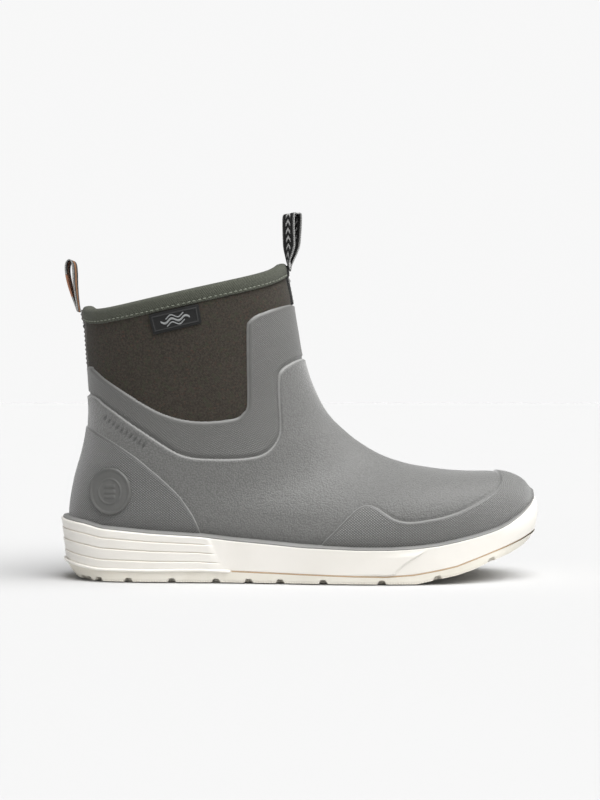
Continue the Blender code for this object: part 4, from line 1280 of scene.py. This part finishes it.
def make_outsole():
    """Cream outsole: side band with notches and siping, and the tread underneath."""
    levels = np.concatenate([np.linspace(0, 0.5, 8), np.linspace(0.54, 1, 24)])

    def out(t, x, along):
        rise = height(t, x) - floor_height(x)
        heel = 1 - smoothstep(x, -152.0, -118.0)
        toe = smoothstep(x, 118.0, 148.0)
        side = 3.5 - 0.5 * t - 1.9 * heel - heel * 5.0 * t * t + toe * (1.6 - 3.0 * t)
        sipe = 0.4 * (0.5 + 0.5 * np.cos(along * TURN / SIPE_PITCH)) * (1 - smoothstep(rise, 1.5, 2.3))
        return side - sipe - 6.0 * notch_depth(x, rise)

    def height(t, x):
        top = stripe_height(x) + 0.15
        bottom = floor_height(x) + EDGE_LIFT
        return top + (bottom - top) * t

    paint = rubber_paint("outsole_rubber", (0.72, 0.69, 0.615), (0.665, 0.63, 0.55), 0.55, 0.03, 0.07)
    side = sole_band("outsole_edge", 1900, levels, out, height, paint)
    place(side, "boot", slot="outsole_rubber")

    even, normals, along = plan_outline(900)
    heel = 1 - smoothstep(even[:, 0], -152.0, -118.0)
    toe = smoothstep(even[:, 0], 118.0, 148.0)
    ring = even + normals * (3.0 - 6.9 * heel - 1.4 * toe - 0.4)[:, None]
    left = ring[ring[:, 1] < 4.0 * smoothstep(ring[:, 0], 60, 120)]
    right = ring[ring[:, 1] >= 4.0 * smoothstep(ring[:, 0], 60, 120)]
    left = left[np.argsort(left[:, 0])]
    right = right[np.argsort(right[:, 0])]
    low = max(left[0, 0], right[0, 0]) + 0.02
    high = min(left[-1, 0], right[-1, 0]) - 0.02
    turn = np.linspace(0, math.pi, 620)
    xs = low + (high - low) * (0.5 - 0.5 * np.cos(turn)) * 0.3 + (high - low) * (turn / math.pi) * 0.7
    near = np.interp(xs, left[:, 0], left[:, 1])
    far = np.interp(xs, right[:, 0], right[:, 1])
    shares = np.linspace(0, 1, 150)
    y = near[:, None] + (far - near)[:, None] * shares[None, :]
    x = np.broadcast_to(xs[:, None], y.shape)
    zigzag = 2.2 * np.abs(((y / 9.0) % 2.0) - 1.0)
    sipes = 1 - smoothstep(np.abs(((x + zigzag * 2) % 5.6) - 2.8), 0.25, 0.75)
    margin = np.minimum(y - near[:, None], far[:, None] - y)
    margin = np.minimum(margin, np.minimum(x - low, high - x))
    cut = 1.3 * sipes * smoothstep(margin, 7.0, 8.5)
    channel = 1.6 * (1 - smoothstep(np.abs(margin - 9.0), 0.7, 1.3))
    border = EDGE_LIFT * (1 - smoothstep(margin, 5.0, 5.8))
    notches = NOTCH_TALL * notch_depth(x, np.full_like(x, 0.6)) * (1 - smoothstep(margin, 6.0, 7.0))
    lift = np.maximum(np.maximum(cut, channel), np.maximum(border, notches))
    z = floor_height(x) + lift
    points = np.stack([x, y, z], axis=2).reshape(-1, 3)
    faces = grid_faces(len(xs), len(shares), False).tolist()
    tread = new_object("outsole_tread", points, faces, paint, points[:, :2])
    place(tread, "boot", "outsole", slot="outsole_rubber")


def make_inside():
    """Footbed and its cover, and finishes for the hidden pieces that stay as CAD."""
    floor = skin_points(np.linspace(7.0, 18.0, 60), np.array([math.pi]))[:, 0]
    even, normals, _ = plan_outline(300)

    def bed_line(x):
        return np.interp(x, floor[:, 0], floor[:, 2])

    def pad(name, inset, low, high, paint, nodes, slot):
        """A flat pad cut to the inside of the boot, with rounded edges."""
        profile = [(inset + 30.0, low), (inset + 1.2, low), (inset, low + 0.6), (inset, high - 0.6),
                   (inset + 1.2, high), (inset + 30.0, high)]
        rings = []
        for back, rise in profile:
            ring = even - normals * min(back, inset + 1.2)
            if back > inset + 2:
                ring = ring * np.array([0.92, 0.12])
            z = bed_line(ring[:, 0]) + rise
            rings.append(np.column_stack([ring, z]))
        points = np.concatenate(rings)
        faces = grid_faces(len(rings), len(even), True).tolist()
        count = len(even)
        for start in (0, (len(rings) - 1) * count):
            faces.append(tuple(range(start, start + count)))
        piece = new_object(name, points, faces, paint, points[:, :2], sharp=50)
        return place(piece, "boot", nodes, slot=slot)

    foam = foam_paint("footbed_foam", (0.10, 0.14, 0.20), (0.13, 0.17, 0.23))
    knit = cloth_paint("footbed_textile", (0.035, 0.035, 0.038), (0.10, 0.10, 0.105), 1.5)
    bed = pad("footbed_pad", 9.6, 8.2, 12.7, foam, "footbed", "footbed_foam")
    cover = pad("footbed_cover_cloth", 9.2, 12.9, 14.2, knit, "footbed_cover", "footbed_textile")
    for node, paint in (
        ("midsole_core", foam_paint("core_foam", (0.50, 0.50, 0.49), (0.58, 0.58, 0.57))),
        ("insole_board", foam_paint("board_fibre", (0.38, 0.30, 0.20), (0.47, 0.38, 0.27))),
    ):
        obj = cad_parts[node]
        obj.data.materials.clear()
        obj.data.materials.append(paint)


# ---------------------------------------------------------------- stage, light and camera

CAMERA_DISTANCE = 1.03     # metres
EYE_HEIGHT = 0.1144
LENS = 71.3


def make_stage():
    """A wide pale floor, even out to the horizon."""
    p = Paint("studio_paper")
    colour = p.mix(p.noise(0.004, 2.0), (0.527, 0.527, 0.527), (0.533, 0.533, 0.533))
    paint = p.finish(colour, 1.0, p.noise(0.3, 2.0), 0.01, specular=0.0)
    far = 60.0 / MM
    corners = [(-far, -far, 0), (far, -far, 0), (far, far, 0), (-far, far, 0)]
    new_object("floor", corners, [(0, 1, 2, 3)], paint)


SKY_AIM = (0.36, -0.30, 0.88)
SKY_BASE = 0.15
SKY_LAMP = 6.4
BACKDROP = 0.935


def make_light():
    """White studio surroundings: an even backdrop, a dim room and one broad lamp overhead."""
    world = bpy.data.worlds.new("studio")
    world.use_nodes = True
    tree = world.node_tree
    where = tree.nodes.new("ShaderNodeTexCoord")

    def toward(aim, low, high):
        dot = tree.nodes.new("ShaderNodeVectorMath")
        dot.operation = "DOT_PRODUCT"
        tree.links.new(where.outputs["Generated"], dot.inputs[0])
        dot.inputs[1].default_value = Vector(aim).normalized()
        ramp = tree.nodes.new("ShaderNodeMapRange")
        ramp.interpolation_type = "SMOOTHSTEP"
        tree.links.new(dot.outputs["Value"], ramp.inputs["Value"])
        ramp.inputs["From Min"].default_value = low
        ramp.inputs["From Max"].default_value = high
        return ramp.outputs[0]

    def blend(share, a, b):
        mix = tree.nodes.new("ShaderNodeMix")
        tree.links.new(share, mix.inputs[0])
        for socket, value in ((mix.inputs[2], a), (mix.inputs[3], b)):
            if isinstance(value, float):
                socket.default_value = value
            else:
                tree.links.new(value, socket)
        return mix.outputs[0]

    lit = blend(toward(SKY_AIM, 0.80, 0.90), SKY_BASE, SKY_LAMP)
    strength = blend(toward((0.0, 0.0, 1.0), 0.26, 0.42), BACKDROP, lit)
    background = tree.nodes["Background"]
    background.inputs["Color"].default_value = (1.0, 1.0, 1.0, 1.0)
    tree.links.new(strength, background.inputs["Strength"])
    bpy.context.scene.world = world


def make_camera():
    """Level camera square to the outer side."""
    data = bpy.data.cameras.new("camera")
    data.lens = LENS
    data.sensor_width = 36.0
    camera = bpy.data.objects.new("camera", data)
    camera.location = (0.0, -CAMERA_DISTANCE, EYE_HEIGHT)
    camera.rotation_euler = (math.pi / 2, 0.0, 0.0)
    bpy.context.scene.collection.objects.link(camera)
    bpy.context.scene.camera = camera
    bpy.context.scene.view_settings.view_transform = "Standard"


for make in (
    make_camera, make_light, make_stage, make_neoprene, make_lining, make_band, make_vamp,
    make_counter, make_guard, make_disc, make_label, make_binding, make_straps, make_front_loop,
    make_rear_loop, make_welt, make_wall, make_stripe, make_outsole, make_inside,
):
    make()
